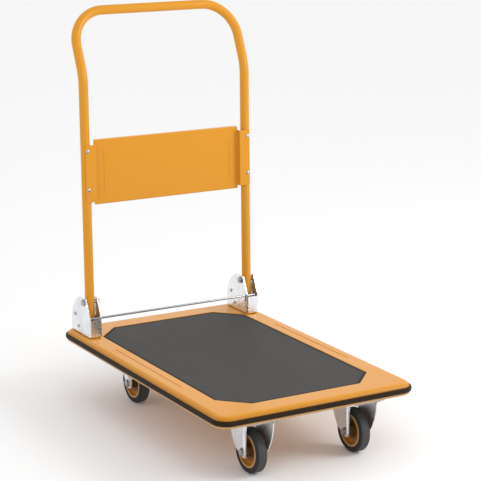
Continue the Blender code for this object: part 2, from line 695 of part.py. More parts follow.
def build_fixed_caster(side, sign, zinc, plastic, rubber):
    place = Vector((FRONT_AXLE_X, sign * CASTER_Y, 0))
    name = "fixed_fork_" + side
    length = FIXED_PLATE_HALF_LENGTH
    outline = rounded_rectangle(length, PLATE_HALF_WIDTH, 0.006, 3)
    fork = add_object(name, prism(name, outline, PLATE_BOTTOM, PLATE_TOP), zinc, None, place)
    for number, turn in enumerate((1, -1)):
        outline = [(turn * x, z) for x, z in fixed_leg_outline(PLATE_BOTTOM + 0.001)]
        rib = [(0.0040, PLATE_BOTTOM - 0.004), (-0.0290, PLATE_BOTTOM - 0.004), (-0.0250, 0.0560)]
        rib += arc((-0.0015, WHEEL_RADIUS), 0.0105, radians(215), radians(325), 5)
        rib = [(turn * x, z) for x, z in rib]
        leg = fork_leg("%s_leg_guide_%d" % (name, number), outline, -turn, None, place, rib)
        cut(fork, leg, "UNION")
    reach = FORK_INNER + 0.02
    hole = lathe("hole", rod_profile(AXLE_RADIUS + GAP, -reach, reach), "Y", 14)
    centre = place + Vector((0, 0, WHEEL_RADIUS))
    cut(fork, guide(name + "_axle_guide", hole, None, centre))
    label = "front_" + side
    build_axle_bolt(label, zinc, centre, None, sign)
    build_wheel(label, plastic, rubber, zinc, centre, None)


def swivel_leg_outline():
    """Side view of a swivel fork's leg, measured from the axle; the king pin is at -TRAIL."""
    outline = [(-TRAIL + 0.0230, YOKE_TOP - 0.0005), (-TRAIL - 0.0230, YOKE_TOP - 0.0005),
               (-TRAIL - 0.0215, 0.0900), (-TRAIL + 0.0020, 0.0640)]
    outline += arc((0, WHEEL_RADIUS), 0.0130, radians(205), radians(360), 8)
    outline += [(0.0130, 0.0640), (0.0080, 0.0860)]
    return outline


def build_swivel_caster(side, sign, zinc, plastic, rubber):
    place = Vector((KING_PIN_X, sign * CASTER_Y, 0))
    label = "rear_" + side
    name = "swivel_plate_" + side
    outline = rounded_rectangle(SWIVEL_PLATE_HALF_LENGTH, PLATE_HALF_WIDTH, 0.006, 3)
    plate = add_object(name, prism(name, outline, PLATE_BOTTOM, PLATE_TOP), zinc, None, place)
    cup_low = YOKE_TOP + 0.0064
    cup = [(0, cup_low), (RACE_RADIUS, cup_low), (RACE_RADIUS + 0.002, cup_low + 0.002),
           (RACE_RADIUS + 0.004, PLATE_BOTTOM + 0.0005), (0, PLATE_BOTTOM + 0.0005)]
    cup_guide = guide(name + "_cup_guide", lathe("cup", cup, segments=28), None, place)
    cut(plate, cup_guide, "UNION")
    bore = lathe("bore", rod_profile(KING_PIN_RADIUS + GAP, 0.09, 0.14), segments=18)
    cut(plate, guide(name + "_bore_guide", bore, None, place))
    head = KING_PIN_RADIUS + 0.0040
    low = YOKE_TOP - FORK_SHEET - GAP
    top = PLATE_TOP - GAP
    profile = [(0, low - 0.0040), (head - 0.0012, low - 0.0040), (head, low - 0.0028), (head, low),
               (KING_PIN_RADIUS, low), (KING_PIN_RADIUS, top), (0, top)]
    add_object("king_pin_" + side, lathe("king_pin", profile, segments=18), zinc, None, place)

    swivel = add_empty("swivel_" + label, place)
    name = "swivel_fork_" + side
    yoke = lathe(name, [(0, YOKE_TOP - FORK_SHEET), (YOKE_RADIUS, YOKE_TOP - FORK_SHEET),
                        (YOKE_RADIUS, YOKE_TOP), (0, YOKE_TOP)], segments=28)
    fork = add_object(name, yoke, zinc, swivel)
    for number, turn in enumerate((1, -1)):
        rib = [(-TRAIL + 0.0100, YOKE_TOP - 0.006), (-TRAIL - 0.0080, YOKE_TOP - 0.006),
               (-TRAIL + 0.0120, 0.0660)]
        rib += arc((-0.0005, WHEEL_RADIUS), 0.0100, radians(210), radians(360), 6)
        leg = fork_leg("%s_leg_guide_%d" % (name, number), swivel_leg_outline(), turn, swivel,
                       (TRAIL, 0, 0), rib)
        cut(fork, leg, "UNION")
    reach = FORK_INNER + 0.02
    hole = lathe("hole", rod_profile(AXLE_RADIUS + GAP, -reach, reach), "Y", 14)
    axle = Vector((TRAIL, 0, WHEEL_RADIUS))
    cut(fork, guide(name + "_axle_guide", hole, swivel, axle))
    bore = lathe("bore", rod_profile(KING_PIN_RADIUS + GAP, 0.09, 0.14), segments=18)
    cut(fork, guide(name + "_bore_guide", bore, swivel))
    ring_low = YOKE_TOP + GAP
    ring = [(KING_PIN_RADIUS + 0.008, ring_low), (RACE_RADIUS + 0.001, ring_low),
            (RACE_RADIUS + 0.001, ring_low + 0.0042), (RACE_RADIUS - 0.0010, ring_low + 0.0056),
            (KING_PIN_RADIUS + 0.008, ring_low + 0.0056)]
    add_object("ball_race_" + side, lathe("ball_race", ring, segments=28), zinc, swivel)
    build_axle_bolt(label, zinc, axle, swivel, sign)
    build_wheel(label, plastic, rubber, zinc, axle, swivel)


def build_cart():
    paint = make_material("yellow_powder_coat", (0.74, 0.33, 0.045), 0.42)
    vinyl = make_material("mat_vinyl", (0.095, 0.090, 0.085), 0.75)
    bumper = make_material("bumper_rubber", (0.022, 0.018, 0.015), 0.55)
    zinc = make_material("zinc_plate", (0.72, 0.73, 0.75), 0.28, 1.0)
    steel = make_material("bright_steel", (0.80, 0.80, 0.80), 0.15, 1.0)
    plastic = make_material("wheel_plastic", (0.52, 0.23, 0.035), 0.45)
    rubber = make_material("tyre_rubber", (0.060, 0.062, 0.062), 0.70)
    black = make_material("plug_plastic", (0.03, 0.03, 0.03), 0.50)
    build_deck(paint)
    build_mat(vinyl)
    build_bumper(bumper)
    build_channels(paint)
    for side, sign in SIDES:
        build_bracket(side, sign, zinc)
        build_bracket_hardware(side, sign, zinc)
        build_fixed_caster(side, sign, zinc, plastic, rubber)
        build_swivel_caster(side, sign, zinc, plastic, rubber)
    build_latch(zinc, steel)
    build_handle(paint, black, steel)


clear_scene()
build_cart()
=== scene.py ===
import json
from math import atan2, cos, hypot, pi, radians, sin

import bmesh
import bpy
from mathutils import Matrix, Vector


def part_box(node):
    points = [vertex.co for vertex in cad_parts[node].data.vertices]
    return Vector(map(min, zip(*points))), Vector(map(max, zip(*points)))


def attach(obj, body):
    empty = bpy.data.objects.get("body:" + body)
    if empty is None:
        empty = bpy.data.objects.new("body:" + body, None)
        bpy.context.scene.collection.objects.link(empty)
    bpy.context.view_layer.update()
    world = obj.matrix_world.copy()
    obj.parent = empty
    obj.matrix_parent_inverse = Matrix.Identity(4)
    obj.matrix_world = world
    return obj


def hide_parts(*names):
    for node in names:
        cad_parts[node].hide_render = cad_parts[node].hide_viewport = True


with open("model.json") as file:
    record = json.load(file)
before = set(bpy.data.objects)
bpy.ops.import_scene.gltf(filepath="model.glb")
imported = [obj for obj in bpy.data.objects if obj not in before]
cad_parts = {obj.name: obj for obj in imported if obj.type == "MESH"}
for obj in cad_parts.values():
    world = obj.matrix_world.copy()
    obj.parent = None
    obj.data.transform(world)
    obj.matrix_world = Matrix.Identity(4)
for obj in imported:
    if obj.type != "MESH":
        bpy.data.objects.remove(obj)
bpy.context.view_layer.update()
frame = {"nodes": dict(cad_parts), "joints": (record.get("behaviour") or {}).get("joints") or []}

# Folding platform cart. +X is the front, the handle stands at -X, +Y is the pusher's left.
wheelNames = ("front_left", "front_right", "rear_left", "rear_right")
nearly = 0.0001  # places closer than this count as the same, in metres


def near(value, target):
    return abs(value - target) < nearly


def jointAt(name):
    return Vector(next(j for j in frame["joints"] if j["name"] == name)["pos_m"])


# selecting and shaping
def selectOnly(piece=None):
    if bpy.context.mode != "OBJECT":
        bpy.ops.object.mode_set(mode="OBJECT")
    bpy.ops.object.select_all(action="DESELECT")
    if piece:
        piece.select_set(True)
        bpy.context.view_layer.objects.active = piece


def pickAll(action="SELECT"):
    bpy.ops.mesh.select_all(action=action)


def openEdit(piece, kind="FACE"):
    selectOnly(piece)
    bpy.ops.object.mode_set(mode="EDIT")
    bpy.ops.mesh.select_mode(type=kind)
    pickAll("DESELECT")


def closeEdit():
    bpy.ops.object.mode_set(mode="OBJECT")


def pick(piece, kind, test):  # test gets the middle, and the normal, or an edge's direction
    bpy.ops.mesh.select_mode(type=kind)
    pickAll("DESELECT")
    shape = bmesh.from_edit_mesh(piece.data)
    if kind == "VERT":
        spots = [(vert, vert.co, vert.normal) for vert in shape.verts]
    elif kind == "EDGE":
        spots = [(edge, (start.co + end.co) / 2, (end.co - start.co).normalized())
            for edge in shape.edges for start, end in [edge.verts]]
    else:
        spots = [(face, face.calc_center_median(), face.normal) for face in shape.faces]
    found = [part for part, middle, way in spots if test(middle, way)]
    for part in found:
        part.select_set(True)
    shape.select_flush_mode()
    bmesh.update_edit_mesh(piece.data)
    return len(found)


def pull(x=0.0, y=0.0, z=0.0):
    bpy.ops.mesh.extrude_region_move(TRANSFORM_OT_translate={"value": (x, y, z)})


def stretch(scale, centre):
    bpy.ops.transform.resize(value=scale, center_override=centre)


def softenEdges(piece, test, width, segments):  # in edit mode
    pick(piece, "EDGE", test)
    bpy.ops.mesh.bevel(offset=width, segments=segments, profile=0.5, affect="EDGES",
        clamp_overlap=True)


def soften(piece, test, width, segments):  # the same from object mode
    openEdit(piece)
    softenEdges(piece, test, width, segments)
    closeEdit()


def roundCorners(width, segments):
    bpy.ops.mesh.bevel(offset=width, segments=segments, profile=0.5, affect="VERTICES")


def applyModifiers(piece):
    selectOnly(piece)
    for modifier in list(piece.modifiers):
        bpy.ops.object.modifier_apply(modifier=modifier.name)


def roundOff(piece, width, segments=2, angle=35):
    edges = piece.modifiers.new("edges", "BEVEL")
    edges.width = width
    edges.segments = segments
    edges.limit_method = "ANGLE"
    edges.angle_limit = radians(angle)
    applyModifiers(piece)


def thicken(piece, thickness, even=False):  # a surface becomes a sheet, on its inner side
    sheet = piece.modifiers.new("sheet", "SOLIDIFY")
    sheet.thickness = thickness
    sheet.offset = -1
    sheet.use_even_offset = even
    applyModifiers(piece)


def combine(piece, other, operation="DIFFERENCE"):
    step = piece.modifiers.new("combine", "BOOLEAN")
    step.operation = operation
    step.solver = "EXACT"
    step.object = other
    applyModifiers(piece)
    bpy.data.objects.remove(other, do_unlink=True)


def freeze(piece):
    selectOnly(piece)
    bpy.ops.object.transform_apply(location=True, rotation=True, scale=True)


def setDown(piece, place=(0, 0, 0), turn=(0, 0, 0)):
    piece.rotation_euler = turn
    piece.location = place
    freeze(piece)
    return piece


def again(piece, place=(0, 0, 0), turn=(0, 0, 0)):  # a copy with its own mesh
    selectOnly(piece)
    bpy.ops.object.duplicate(linked=False)
    return setDown(bpy.context.object, place, turn)


def mirrored(piece):  # the same piece for the other side of the cart
    copy = again(piece)
    openEdit(copy)
    pickAll()
    stretch((1, -1, 1), (0, 0, 0))
    bpy.ops.mesh.flip_normals()
    closeEdit()
    return copy


def facesOut(piece):
    openEdit(piece)
    pickAll()
    bpy.ops.mesh.remove_doubles(threshold=0.000002)
    bpy.ops.mesh.normals_make_consistent(inside=False)
    closeEdit()


def handOver(piece, name, body, finish, nodes=(), smooth=32):
    freeze(piece)
    bpy.ops.object.shade_smooth_by_angle(angle=radians(smooth))
    shading = piece.modifiers.new("shading", "WEIGHTED_NORMAL")
    shading.keep_sharp = True
    shading.weight = 70
    applyModifiers(piece)
    piece.name = name
    piece.data.name = name
    piece.data.materials.clear()
    piece.data.materials.append(finish)
    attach(piece, body)
    if nodes:
        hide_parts(*nodes)
    return piece


def shareOut(piece, name, body, finish, node, smooth=34, shift=None):
    # the left piece is handed over with its twin for the right side, mirrored or shifted there;
    # %s in a name stands for the side
    other = again(piece, shift) if shift else mirrored(piece)
    for side, one in (("left", piece), ("right", other)):
        nodes = [node % side] if node else ()
        handOver(one, name % side.capitalize(), body % side if "%" in body else body,
            finish, nodes, smooth)


def arc(centre, radius, start, end, steps):
    return [(centre[0] + radius * cos(start + (end - start) * i / steps),
        centre[1] + radius * sin(start + (end - start) * i / steps)) for i in range(steps + 1)]


def shifted(points, x, y):
    return [(x + u, y + v) for u, v in points]


def bothWays(profile):  # a profile of (radius, height), and back again with the heights reversed
    return profile + [(radius, -height) for radius, height in reversed(profile)]


def turned(profile, segments=64, hollow=False):
    # a ring about Z is drawn out and scaled from point to point of (radius, height)
    selectOnly()
    radius, height = profile[0]
    bpy.ops.mesh.primitive_circle_add(vertices=segments, radius=radius, location=(0, 0, height))
    piece = bpy.context.object
    freeze(piece)
    openEdit(piece, "EDGE")
    pickAll()
    for (oldRadius, oldHeight), (newRadius, newHeight) in zip(profile, profile[1:]):
        pull(z=newHeight - oldHeight)
        scale = newRadius / oldRadius
        stretch((scale, scale, 1), (0, 0, newHeight))
    pickAll("DESELECT")
    bpy.ops.mesh.select_non_manifold()
    if hollow:
        bpy.ops.mesh.bridge_edge_loops()
    else:
        pickAll()
        bpy.ops.mesh.fill_holes(sides=0)
    closeEdit()
    facesOut(piece)
    return piece


def sketch(points, closed=False):
    # one corner is drawn out from point to point; edit mode stays open
    selectOnly()
    bpy.ops.mesh.primitive_plane_add(size=0.001, location=(0, 0, 0))
    piece = bpy.context.object
    openEdit(piece)
    pick(piece, "VERT", lambda at, way: at.x < 0 or at.y < 0)
    bpy.ops.mesh.delete(type="VERT")
    pickAll()
    first, last = Vector(points[0]), Vector(points[-1])
    bpy.ops.transform.translate(value=first - Vector((0.0005, 0.0005, 0)))
    for before, after in zip(points, points[1:]):
        pull(*(Vector(after) - Vector(before)))
    if closed:
        pick(piece, "VERT", lambda at, way: min((at - first).length, (at - last).length) < 0.000002)
        bpy.ops.mesh.edge_face_add()
    bpy.ops.mesh.select_mode(type="EDGE")
    pickAll()
    return piece


def drawn(outline, low, high, axis="Z"):  # an outline filled and given thickness along the axis
    spot = {"Z": lambda u, v, w: Vector((u, v, w)), "Y": lambda u, v, w: Vector((u, w, v)),
        "X": lambda u, v, w: Vector((w, u, v))}[axis]
    piece = sketch([spot(*point, low) for point in outline])
    bpy.ops.mesh.edge_face_add()
    pull(*spot(0, 0, high - low))
    closeEdit()
    facesOut(piece)
    return piece


def bend(centre, axis, angle, steps):
    bpy.ops.mesh.spin(steps=steps, angle=-angle, center=centre, axis=axis)


def roundedPlate(half, corner, low, high, steps=6, place=(0, 0)):
    selectOnly()
    bpy.ops.mesh.primitive_plane_add(size=2, location=(place[0], place[1], low))
    piece = bpy.context.object
    piece.scale = (half[0], half[1], 1)
    freeze(piece)
    openEdit(piece, "VERT")
    pickAll()
    roundCorners(corner, steps)
    pickAll()
    pull(z=high - low)
    closeEdit()
    facesOut(piece)
    return piece


def block(low, high):
    selectOnly()
    middle = [(a + b) / 2 for a, b in zip(low, high)]
    bpy.ops.mesh.primitive_cube_add(size=1, location=middle)
    piece = bpy.context.object
    piece.scale = [b - a for a, b in zip(low, high)]
    freeze(piece)
    return piece


def drill(piece, radius, place, reach, turn=(0, 0, 0)):
    cutter = turned([(radius, -reach), (radius, reach)], 32)
    setDown(cutter, place, turn)
    combine(piece, cutter)


alongY = (pi / 2, 0, 0)
alongX = (0, pi / 2, 0)


# shader maths written as expressions
class Signal:
    def __init__(self, tree, socket):
        self.tree, self.socket = tree, socket

    def math(self, operation, other=0.0, swap=False):
        node = self.tree.nodes.new("ShaderNodeMath")
        node.operation = operation
        for slot, value in zip(node.inputs, (other, self) if swap else (self, other)):
            connect(self.tree, slot, value)
        return Signal(self.tree, node.outputs[0])

    def __add__(self, other):
        return self.math("ADD", other)

    def __sub__(self, other):
        return self.math("SUBTRACT", other)

    def __rsub__(self, other):
        return self.math("SUBTRACT", other, True)

    def __mul__(self, other):
        return self.math("MULTIPLY", other)

    def __pow__(self, other):
        return self.math("POWER", other)

    __radd__ = __add__
    __rmul__ = __mul__


def connect(tree, slot, value):
    if isinstance(value, Signal):
        tree.links.new(value.socket, slot)
    else:
        slot.default_value = value


class Finish:
    def __init__(self, name, **fixed):
        self.material = bpy.data.materials.new(name)
        self.material.use_nodes = True
        self.tree = self.material.node_tree
        self.shader = self.tree.nodes["Principled BSDF"]
        for slot, value in fixed.items():
            self.shader.inputs[slot.replace("_", " ")].default_value = value
        self.place = self.node("ShaderNodeTexCoord", output="Object")

    def node(self, kind, settings=None, links=None, output=0):
        node = self.tree.nodes.new(kind)
        for key, value in (settings or {}).items():
            if key == "stops":
                while len(node.color_ramp.elements) < len(value):
                    node.color_ramp.elements.new(0.5)
                for element, (position, colour) in zip(node.color_ramp.elements, value):
                    element.position, element.color = position, colour
            else:
                setattr(node, key, value)
        for slot, value in (links or {}).items():
            connect(self.tree, node.inputs[slot], value)
        return Signal(self.tree, node.outputs[output])

    def noise(self, scale, detail=2.0, roughness=0.5, at=None, distortion=0.0):
        return self.node("ShaderNodeTexNoise", None, {"Vector": at or self.place, "Scale": scale,
            "Detail": detail, "Roughness": roughness, "Distortion": distortion})

    def stretched(self, x, y, z):
        return self.node("ShaderNodeVectorMath", {"operation": "MULTIPLY"},
            {0: self.place, 1: (x, y, z)})

    def axis(self, number):
        return self.node("ShaderNodeSeparateXYZ", None, {0: self.place}, output=number)

    def step(self, value, low, high):  # 0 below low, 1 above high
        return self.node("ShaderNodeMapRange", {"interpolation_type": "SMOOTHSTEP"},
            {"Value": value, "From Min": low, "From Max": high})

    def mix(self, share, colour, other):
        node = self.tree.nodes.new("ShaderNodeMix")
        node.data_type = "RGBA"
        for slot, value in ((0, share), (6, colour), (7, other)):
            connect(self.tree, node.inputs[slot], value)
        return Signal(self.tree, node.outputs[2])

    def feed(self, **values):  # what varies over the surface; the finished material is returned
        for slot, value in values.items():
            connect(self.tree, self.shader.inputs[slot.replace("_", " ")], value)
        return self.material

    def bump(self, height, depth, under=None):
        links = {"Height": height, "Distance": depth, "Strength": 1.0}
        if under:
            links["Normal"] = under
        return self.node("ShaderNodeBump", None, links)


# the flank colour and heights set a darker band on the rounding of the deck's edge: painted shade
paintLook = dict(colour=(0.705, 0.3, 0.019, 1), shade=(0.665, 0.278, 0.016, 1),
    rub=(0.74, 0.4, 0.1, 1), dust=(0.56, 0.44, 0.27, 1), roughness=0.28, peelScale=520,
    peelDepth=0.00006, waveScale=60, waveDepth=0.00012, footTop=0.1325, footSoft=0.0012,
    footPaleShare=0.42, flank=(0.5, 0.2, 0.01, 1), flankShadeFrom=0.147, flankShadeTo=0.1519, flankShadeShare=0.92)


def powderPaint():
    look = paintLook
    finish = Finish("yellowPowderPaint", IOR=1.3, Specular_IOR_Level=0.5, Coat_IOR=1.3,
        Coat_Roughness=0.12)
    drift = finish.noise(2.6, 3)
    speckle = finish.noise(1400, 1)
    tint = finish.mix(drift * 0.75 + speckle * 0.25, look["shade"], look["colour"])
    rub = finish.step(finish.noise(38, 4, 0.6), 0.62, 0.8)
    height = finish.axis(2)
    # below footTop, on the skirt's turned-in foot, the paint is mixed towards a paler, greyer tone
    foot = 1 - finish.step(height, look["footTop"] - look["footSoft"], look["footTop"])
    flank = 1 - finish.step(height, look["flankShadeFrom"], look["flankShadeTo"])  # darker band on the rounding of the deck's edge: painted shade
    wornAndShaded = finish.mix(rub * 0.1, finish.mix(flank * look["flankShadeShare"], tint, look["flank"]),
        look["rub"])
    finish.feed(Base_Color=finish.mix(foot * look["footPaleShare"], wornAndShaded, look["dust"]))
    finish.feed(Roughness=finish.noise(9, 3) * 0.1 + rub * 0.08 + look["roughness"])
    finish.feed(Coat_Weight=0.22 - rub * 0.1)
    peel = finish.bump(finish.noise(look["peelScale"], 2, 0.4), look["peelDepth"])
    return finish.feed(Normal=finish.bump(finish.noise(look["waveScale"], 2), look["waveDepth"],
        peel))


# "tilt" is the depth of the crystals, "calm" their share on the casters
zincLook = dict(bright=(0.88, 0.895, 0.92, 1), dull=(0.64, 0.655, 0.685, 1), roughness=0.14,
    spangle=190, tilt=0.001, calm=0.1, smoother=0.16)
boltLook = dict(bright=(0.52, 0.53, 0.56, 1), dull=(0.3, 0.31, 0.34, 1), roughness=0.18,
    spangle=420, tilt=0.0003, calm=1.0, smoother=0.0)
# the heights and colour below darken the zinc at the plates' height, just under the deck: painted
# shade
zincHeights = dict(bracket=(0.13, 0.15), plateShadeFrom=(0.1185, 0.1205), plateShadeTo=(0.128, 0.13))
zincPlateShade = dict(colour=(0.15, 0.14, 0.13, 1), share=0.6)


def zincPlate(name, look):
    finish = Finish(name, Metallic=1.0)
    clouds = finish.noise(34, 5, 0.62, distortion=0.6)
    spots = finish.step(finish.noise(210, 3, 0.6), 0.55, 0.72)
    bands = finish.noise(1.0, 3, 0.6, at=finish.stretched(240, 240, 9))
    grains = finish.noise(look["spangle"], 2, 0.5, distortion=0.4)
    height = finish.axis(2)
    rough = finish.step(height, *zincHeights["bracket"]) * (1 - look["calm"]) + look["calm"]
    tone = (finish.step(clouds, 0.32, 0.68) * 0.35 + spots * 0.25 + finish.step(bands, 0.4, 0.62)
        * 0.3)
    # darkened at the plates' height, just under the deck: painted shade
    plateShadeMask = (finish.step(height, *zincHeights["plateShadeFrom"])
        * (1 - finish.step(height, *zincHeights["plateShadeTo"])))
    metal = finish.mix(tone, look["bright"], look["dull"])
    finish.feed(Base_Color=finish.mix(plateShadeMask * zincPlateShade["share"], metal, zincPlateShade["colour"]))
    finish.feed(Roughness=clouds * 0.2 + spots * 0.1 - rough * look["smoother"]
        + (look["roughness"] + look["smoother"]))
    spangle = finish.bump(grains * rough, look["tilt"])
    pits = finish.bump(spots, 0.00006, spangle)
    return finish.feed(Normal=finish.bump(bands, 0.00008, pits))


steelLook = dict(colour=(0.6, 0.61, 0.63, 1), shade=(0.34, 0.35, 0.37, 1))


def brightSteel():
    look = steelLook
    finish = Finish("brightSteel", Metallic=1.0)
    streaks = finish.noise(1.0, 4, 0.6, at=finish.stretched(1500, 25, 1500))
    haze = finish.noise(90, 3)
    finish.feed(Base_Color=finish.mix(streaks * 0.5 + haze * 0.3, look["colour"], look["shade"]))
    finish.feed(Roughness=haze * 0.14 + streaks * 0.08 + 0.06)
    return finish.feed(Normal=finish.bump(streaks, 0.00002))


# the edge colour is painted shade along the mat's border
matLook = dict(colour=(0.047, 0.0455, 0.0435, 1), dust=(0.072, 0.07, 0.066, 1), pitch=0.0092,
    studDepth=0.00028, grainDepth=0.0001, chamfer=0.0553, shadedBorder=0.0085,
    edge=(0.012, 0.008, 0.006, 1))


def matVinyl():
    look = matLook
    finish = Finish("matVinyl", Specular_IOR_Level=0.3)
    diagonal = 0.7071
    turns = 2 * pi / look["pitch"] * diagonal
    x, y = finish.axis(0), finish.axis(1)
    waveX = ((x + y) * turns).math("COSINE")
    waveY = ((x - y) * turns).math("COSINE")
    aside, along = x.math("ABSOLUTE"), y.math("ABSOLUTE")
    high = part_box("deck_mat")[1]
    slant = (aside + along - (high.x + high.y - look["chamfer"])) * diagonal
    edge = (aside - high.x).math("MAXIMUM", along - high.y).math("MAXIMUM", slant)
    # the border band has no studs and is darkened: painted shade where the recess wall meets the
    # mat
    shadedBorder = finish.step(edge, -look["shadedBorder"], -look["shadedBorder"] * 0.4)
    studs = finish.step(waveX * waveY, 0.15, 0.75) * (1 - shadedBorder)
    grain = finish.noise(1900, 2, 0.6)
    scuff = finish.step(finish.noise(5.5, 5, 0.6, at=finish.stretched(1, 2.4, 1)), 0.5, 0.78)
    tint = finish.mix(scuff * 0.3 + grain * 0.18, look["colour"], look["dust"])
    field = finish.mix(studs * 0.14, tint, look["dust"])
    finish.feed(Base_Color=finish.mix(shadedBorder * 0.95, field, look["edge"]))
    finish.feed(Roughness=0.66 + grain * 0.12 - studs * 0.1)
    raised = finish.bump(studs, look["studDepth"])
    return finish.feed(Normal=finish.bump(grain, look["grainDepth"], raised))


def bumperRubber():
    finish = Finish("bumperRubber", Specular_IOR_Level=0.12)
    haze = finish.noise(26, 4, 0.6)
    fine = finish.noise(1100, 2)
    finish.feed(Base_Color=finish.mix(haze, (0.016, 0.008, 0.003, 1), (0.028, 0.015, 0.006, 1)))
    finish.feed(Roughness=haze * 0.16 + 0.36)
    ribs = finish.noise(1.0, 2, at=finish.stretched(4, 4, 1600))
    return finish.feed(Normal=finish.bump(fine, 0.00004, finish.bump(ribs, 0.00005)))


def fromAxle(finish):  # the distance from the nearest axle, and from the wheel's middle plane
    front, rear = (jointAt("wheel_spin_" + label) for label in ("front_left", "rear_left"))
    x, y, z = (finish.axis(i) for i in range(3))
    along = (x - (front.x + rear.x) / 2).math("ABSOLUTE") - (front.x - rear.x) / 2
    up = z - front.z
    return (along * along + up * up) ** 0.5, (y.math("ABSOLUTE") - front.y).math("ABSOLUTE")


tyreLook = dict(tread=(0.041, 0.043, 0.043, 1), treadLight=(0.06, 0.062, 0.062, 1),
    side=(0.015, 0.015, 0.015, 1), dust=(0.16, 0.15, 0.14, 1), shoulder=(0.007, 0.0108))


def tyreRubber():
    look = tyreLook
    finish = Finish("tyreRubber", Specular_IOR_Level=0.28)
    haze = finish.noise(30, 5, 0.62)
    fine = finish.noise(1300, 2)
    dust = finish.step(finish.noise(120, 4, 0.7), 0.52, 0.75)
    shoulder = finish.step(fromAxle(finish)[1], *look["shoulder"])
    tread = finish.mix(haze, look["tread"], look["treadLight"])
    tint = finish.mix(shoulder * 0.85, tread, look["side"])
    finish.feed(Base_Color=finish.mix(dust * 0.14, tint, look["dust"]))
    finish.feed(Roughness=0.56 + haze * 0.18)
    return finish.feed(Normal=finish.bump(fine, 0.00005, finish.bump(haze, 0.0002)))


# the hub colour is painted shade, darkening the dish towards the hub
coreLook = dict(colour=(0.4, 0.16, 0.016, 1), shade=(0.31, 0.115, 0.012, 1),
    ring=(0.52, 0.32, 0.15, 1), hub=(0.04, 0.018, 0.006, 1), rimHighlightFrom=0.0318, hubShadeFrom=0.015,
    hubTo=0.031)


def wheelPlastic():
    look = coreLook
    finish = Finish("wheelPlastic", Specular_IOR_Level=0.36, Subsurface_Weight=0.03,
        Subsurface_Radius=(0.004, 0.002, 0.001))
    flow = finish.noise(22, 4, 0.55, distortion=1.2)
    fine = finish.noise(900, 2)
    radius = fromAxle(finish)[0]
    tint = finish.mix(finish.step(fine, 0.55, 0.8) * 0.12 + flow * 0.6, look["colour"],
        look["shade"])
    # darker towards the hub: painted shade in the dish under the leg and deck
    hubShade = 1 - finish.step(radius + flow * 0.004, look["hubShadeFrom"], look["hubTo"])
    # the lighter ring colour at the rim's edge is a painted highlight
    ring = finish.step(radius, look["rimHighlightFrom"], look["rimHighlightFrom"] + 0.0008)
    finish.feed(Base_Color=finish.mix(ring * 0.8, finish.mix(hubShade * 0.85, tint, look["hub"]),
        look["ring"]))
    finish.feed(Roughness=flow * 0.14 + 0.3)
    return finish.feed(Normal=finish.bump(fine, 0.00003, finish.bump(flow, 0.0002)))


def blackPlastic():
    finish = Finish("blackPlastic", Specular_IOR_Level=0.4)
    grain = finish.noise(1500, 2)
    haze = finish.noise(50, 3)
    finish.feed(Base_Color=finish.mix(haze, (0.022, 0.022, 0.023, 1), (0.036, 0.036, 0.037, 1)))
    finish.feed(Roughness=0.42 + grain * 0.14)
    return finish.feed(Normal=finish.bump(grain, 0.00006))


paint = powderPaint()
zinc = zincPlate("zincPlate", zincLook)
boltZinc = zincPlate("boltZinc", boltLook)
steel = brightSteel()
vinyl = matVinyl()
bumperFinish = bumperRubber()
tyreFinish = tyreRubber()
plastic = wheelPlastic()
black = blackPlastic()
print("finishes ready:", len(bpy.data.materials))


cameraView = dict(place=(3.2191, -1.8607, 1.3063), target=(-0.0496, 0.0537, 0.3929), lens=131.45,
    roll=0.17)
studio = dict(world=1.1, panelScale=1.7, shadeTo=0.4, lightFrom=0.54, shade=(0.66, 0.66, 0.66, 1),
    light=(1.12, 1.12, 1.12, 1), floor=(0.95, 0.95, 0.95, 1),
    floorShade=(0.9405, 0.9405, 0.9405, 1), floorHalf=16.0, lampPlace=(1.5, 1.9, 1.6),
    lampTarget=(0, 0, 0.3), lampSize=1.0, lampPower=27)


def placeCamera():
    bpy.ops.object.camera_add(location=cameraView["place"])
    camera = bpy.context.object
    camera.name = "photoCamera"
    toTarget = Vector(cameraView["target"]) - Vector(cameraView["place"])
    aim = toTarget.to_track_quat("-Z", "Y").to_matrix()
    roll = Matrix.Rotation(radians(cameraView["roll"]), 3, "Z")
    camera.rotation_euler = (aim @ roll).to_euler()
    camera.data.sensor_width = 36.0
    camera.data.lens = cameraView["lens"]
    camera.data.clip_end = 80
    bpy.context.scene.camera = camera


def lightStudio():
    world = bpy.data.worlds.new("paleStudio")
    bpy.context.scene.world = world
    world.use_nodes = True
    tree = world.node_tree
    background = tree.nodes["Background"]
    background.inputs["Strength"].default_value = studio["world"]
    toward = tree.nodes.new("ShaderNodeTexCoord").outputs["Generated"]
    panels = tree.nodes.new("ShaderNodeTexNoise")  # soft panels of light and shade all round
    panels.inputs["Scale"].default_value = studio["panelScale"]
    panels.inputs["Detail"].default_value = 1.0
    tree.links.new(toward, panels.inputs["Vector"])
    ramp = tree.nodes.new("ShaderNodeValToRGB")
    dark, bright = ramp.color_ramp.elements
    dark.position, dark.color = studio["shadeTo"], studio["shade"]
    bright.position, bright.color = studio["lightFrom"], studio["light"]
    tree.links.new(panels.outputs[0], ramp.inputs[0])
    tree.links.new(ramp.outputs[0], background.inputs["Color"])
    bpy.ops.object.light_add(type="AREA", location=studio["lampPlace"])
    lamp = bpy.context.object
    lamp.name = "keyLight"
    lamp.data.energy = studio["lampPower"]
    lamp.data.size = studio["lampSize"]
    toTarget = Vector(studio["lampTarget"]) - Vector(studio["lampPlace"])
    lamp.rotation_euler = toTarget.to_track_quat("-Z", "Y").to_euler()


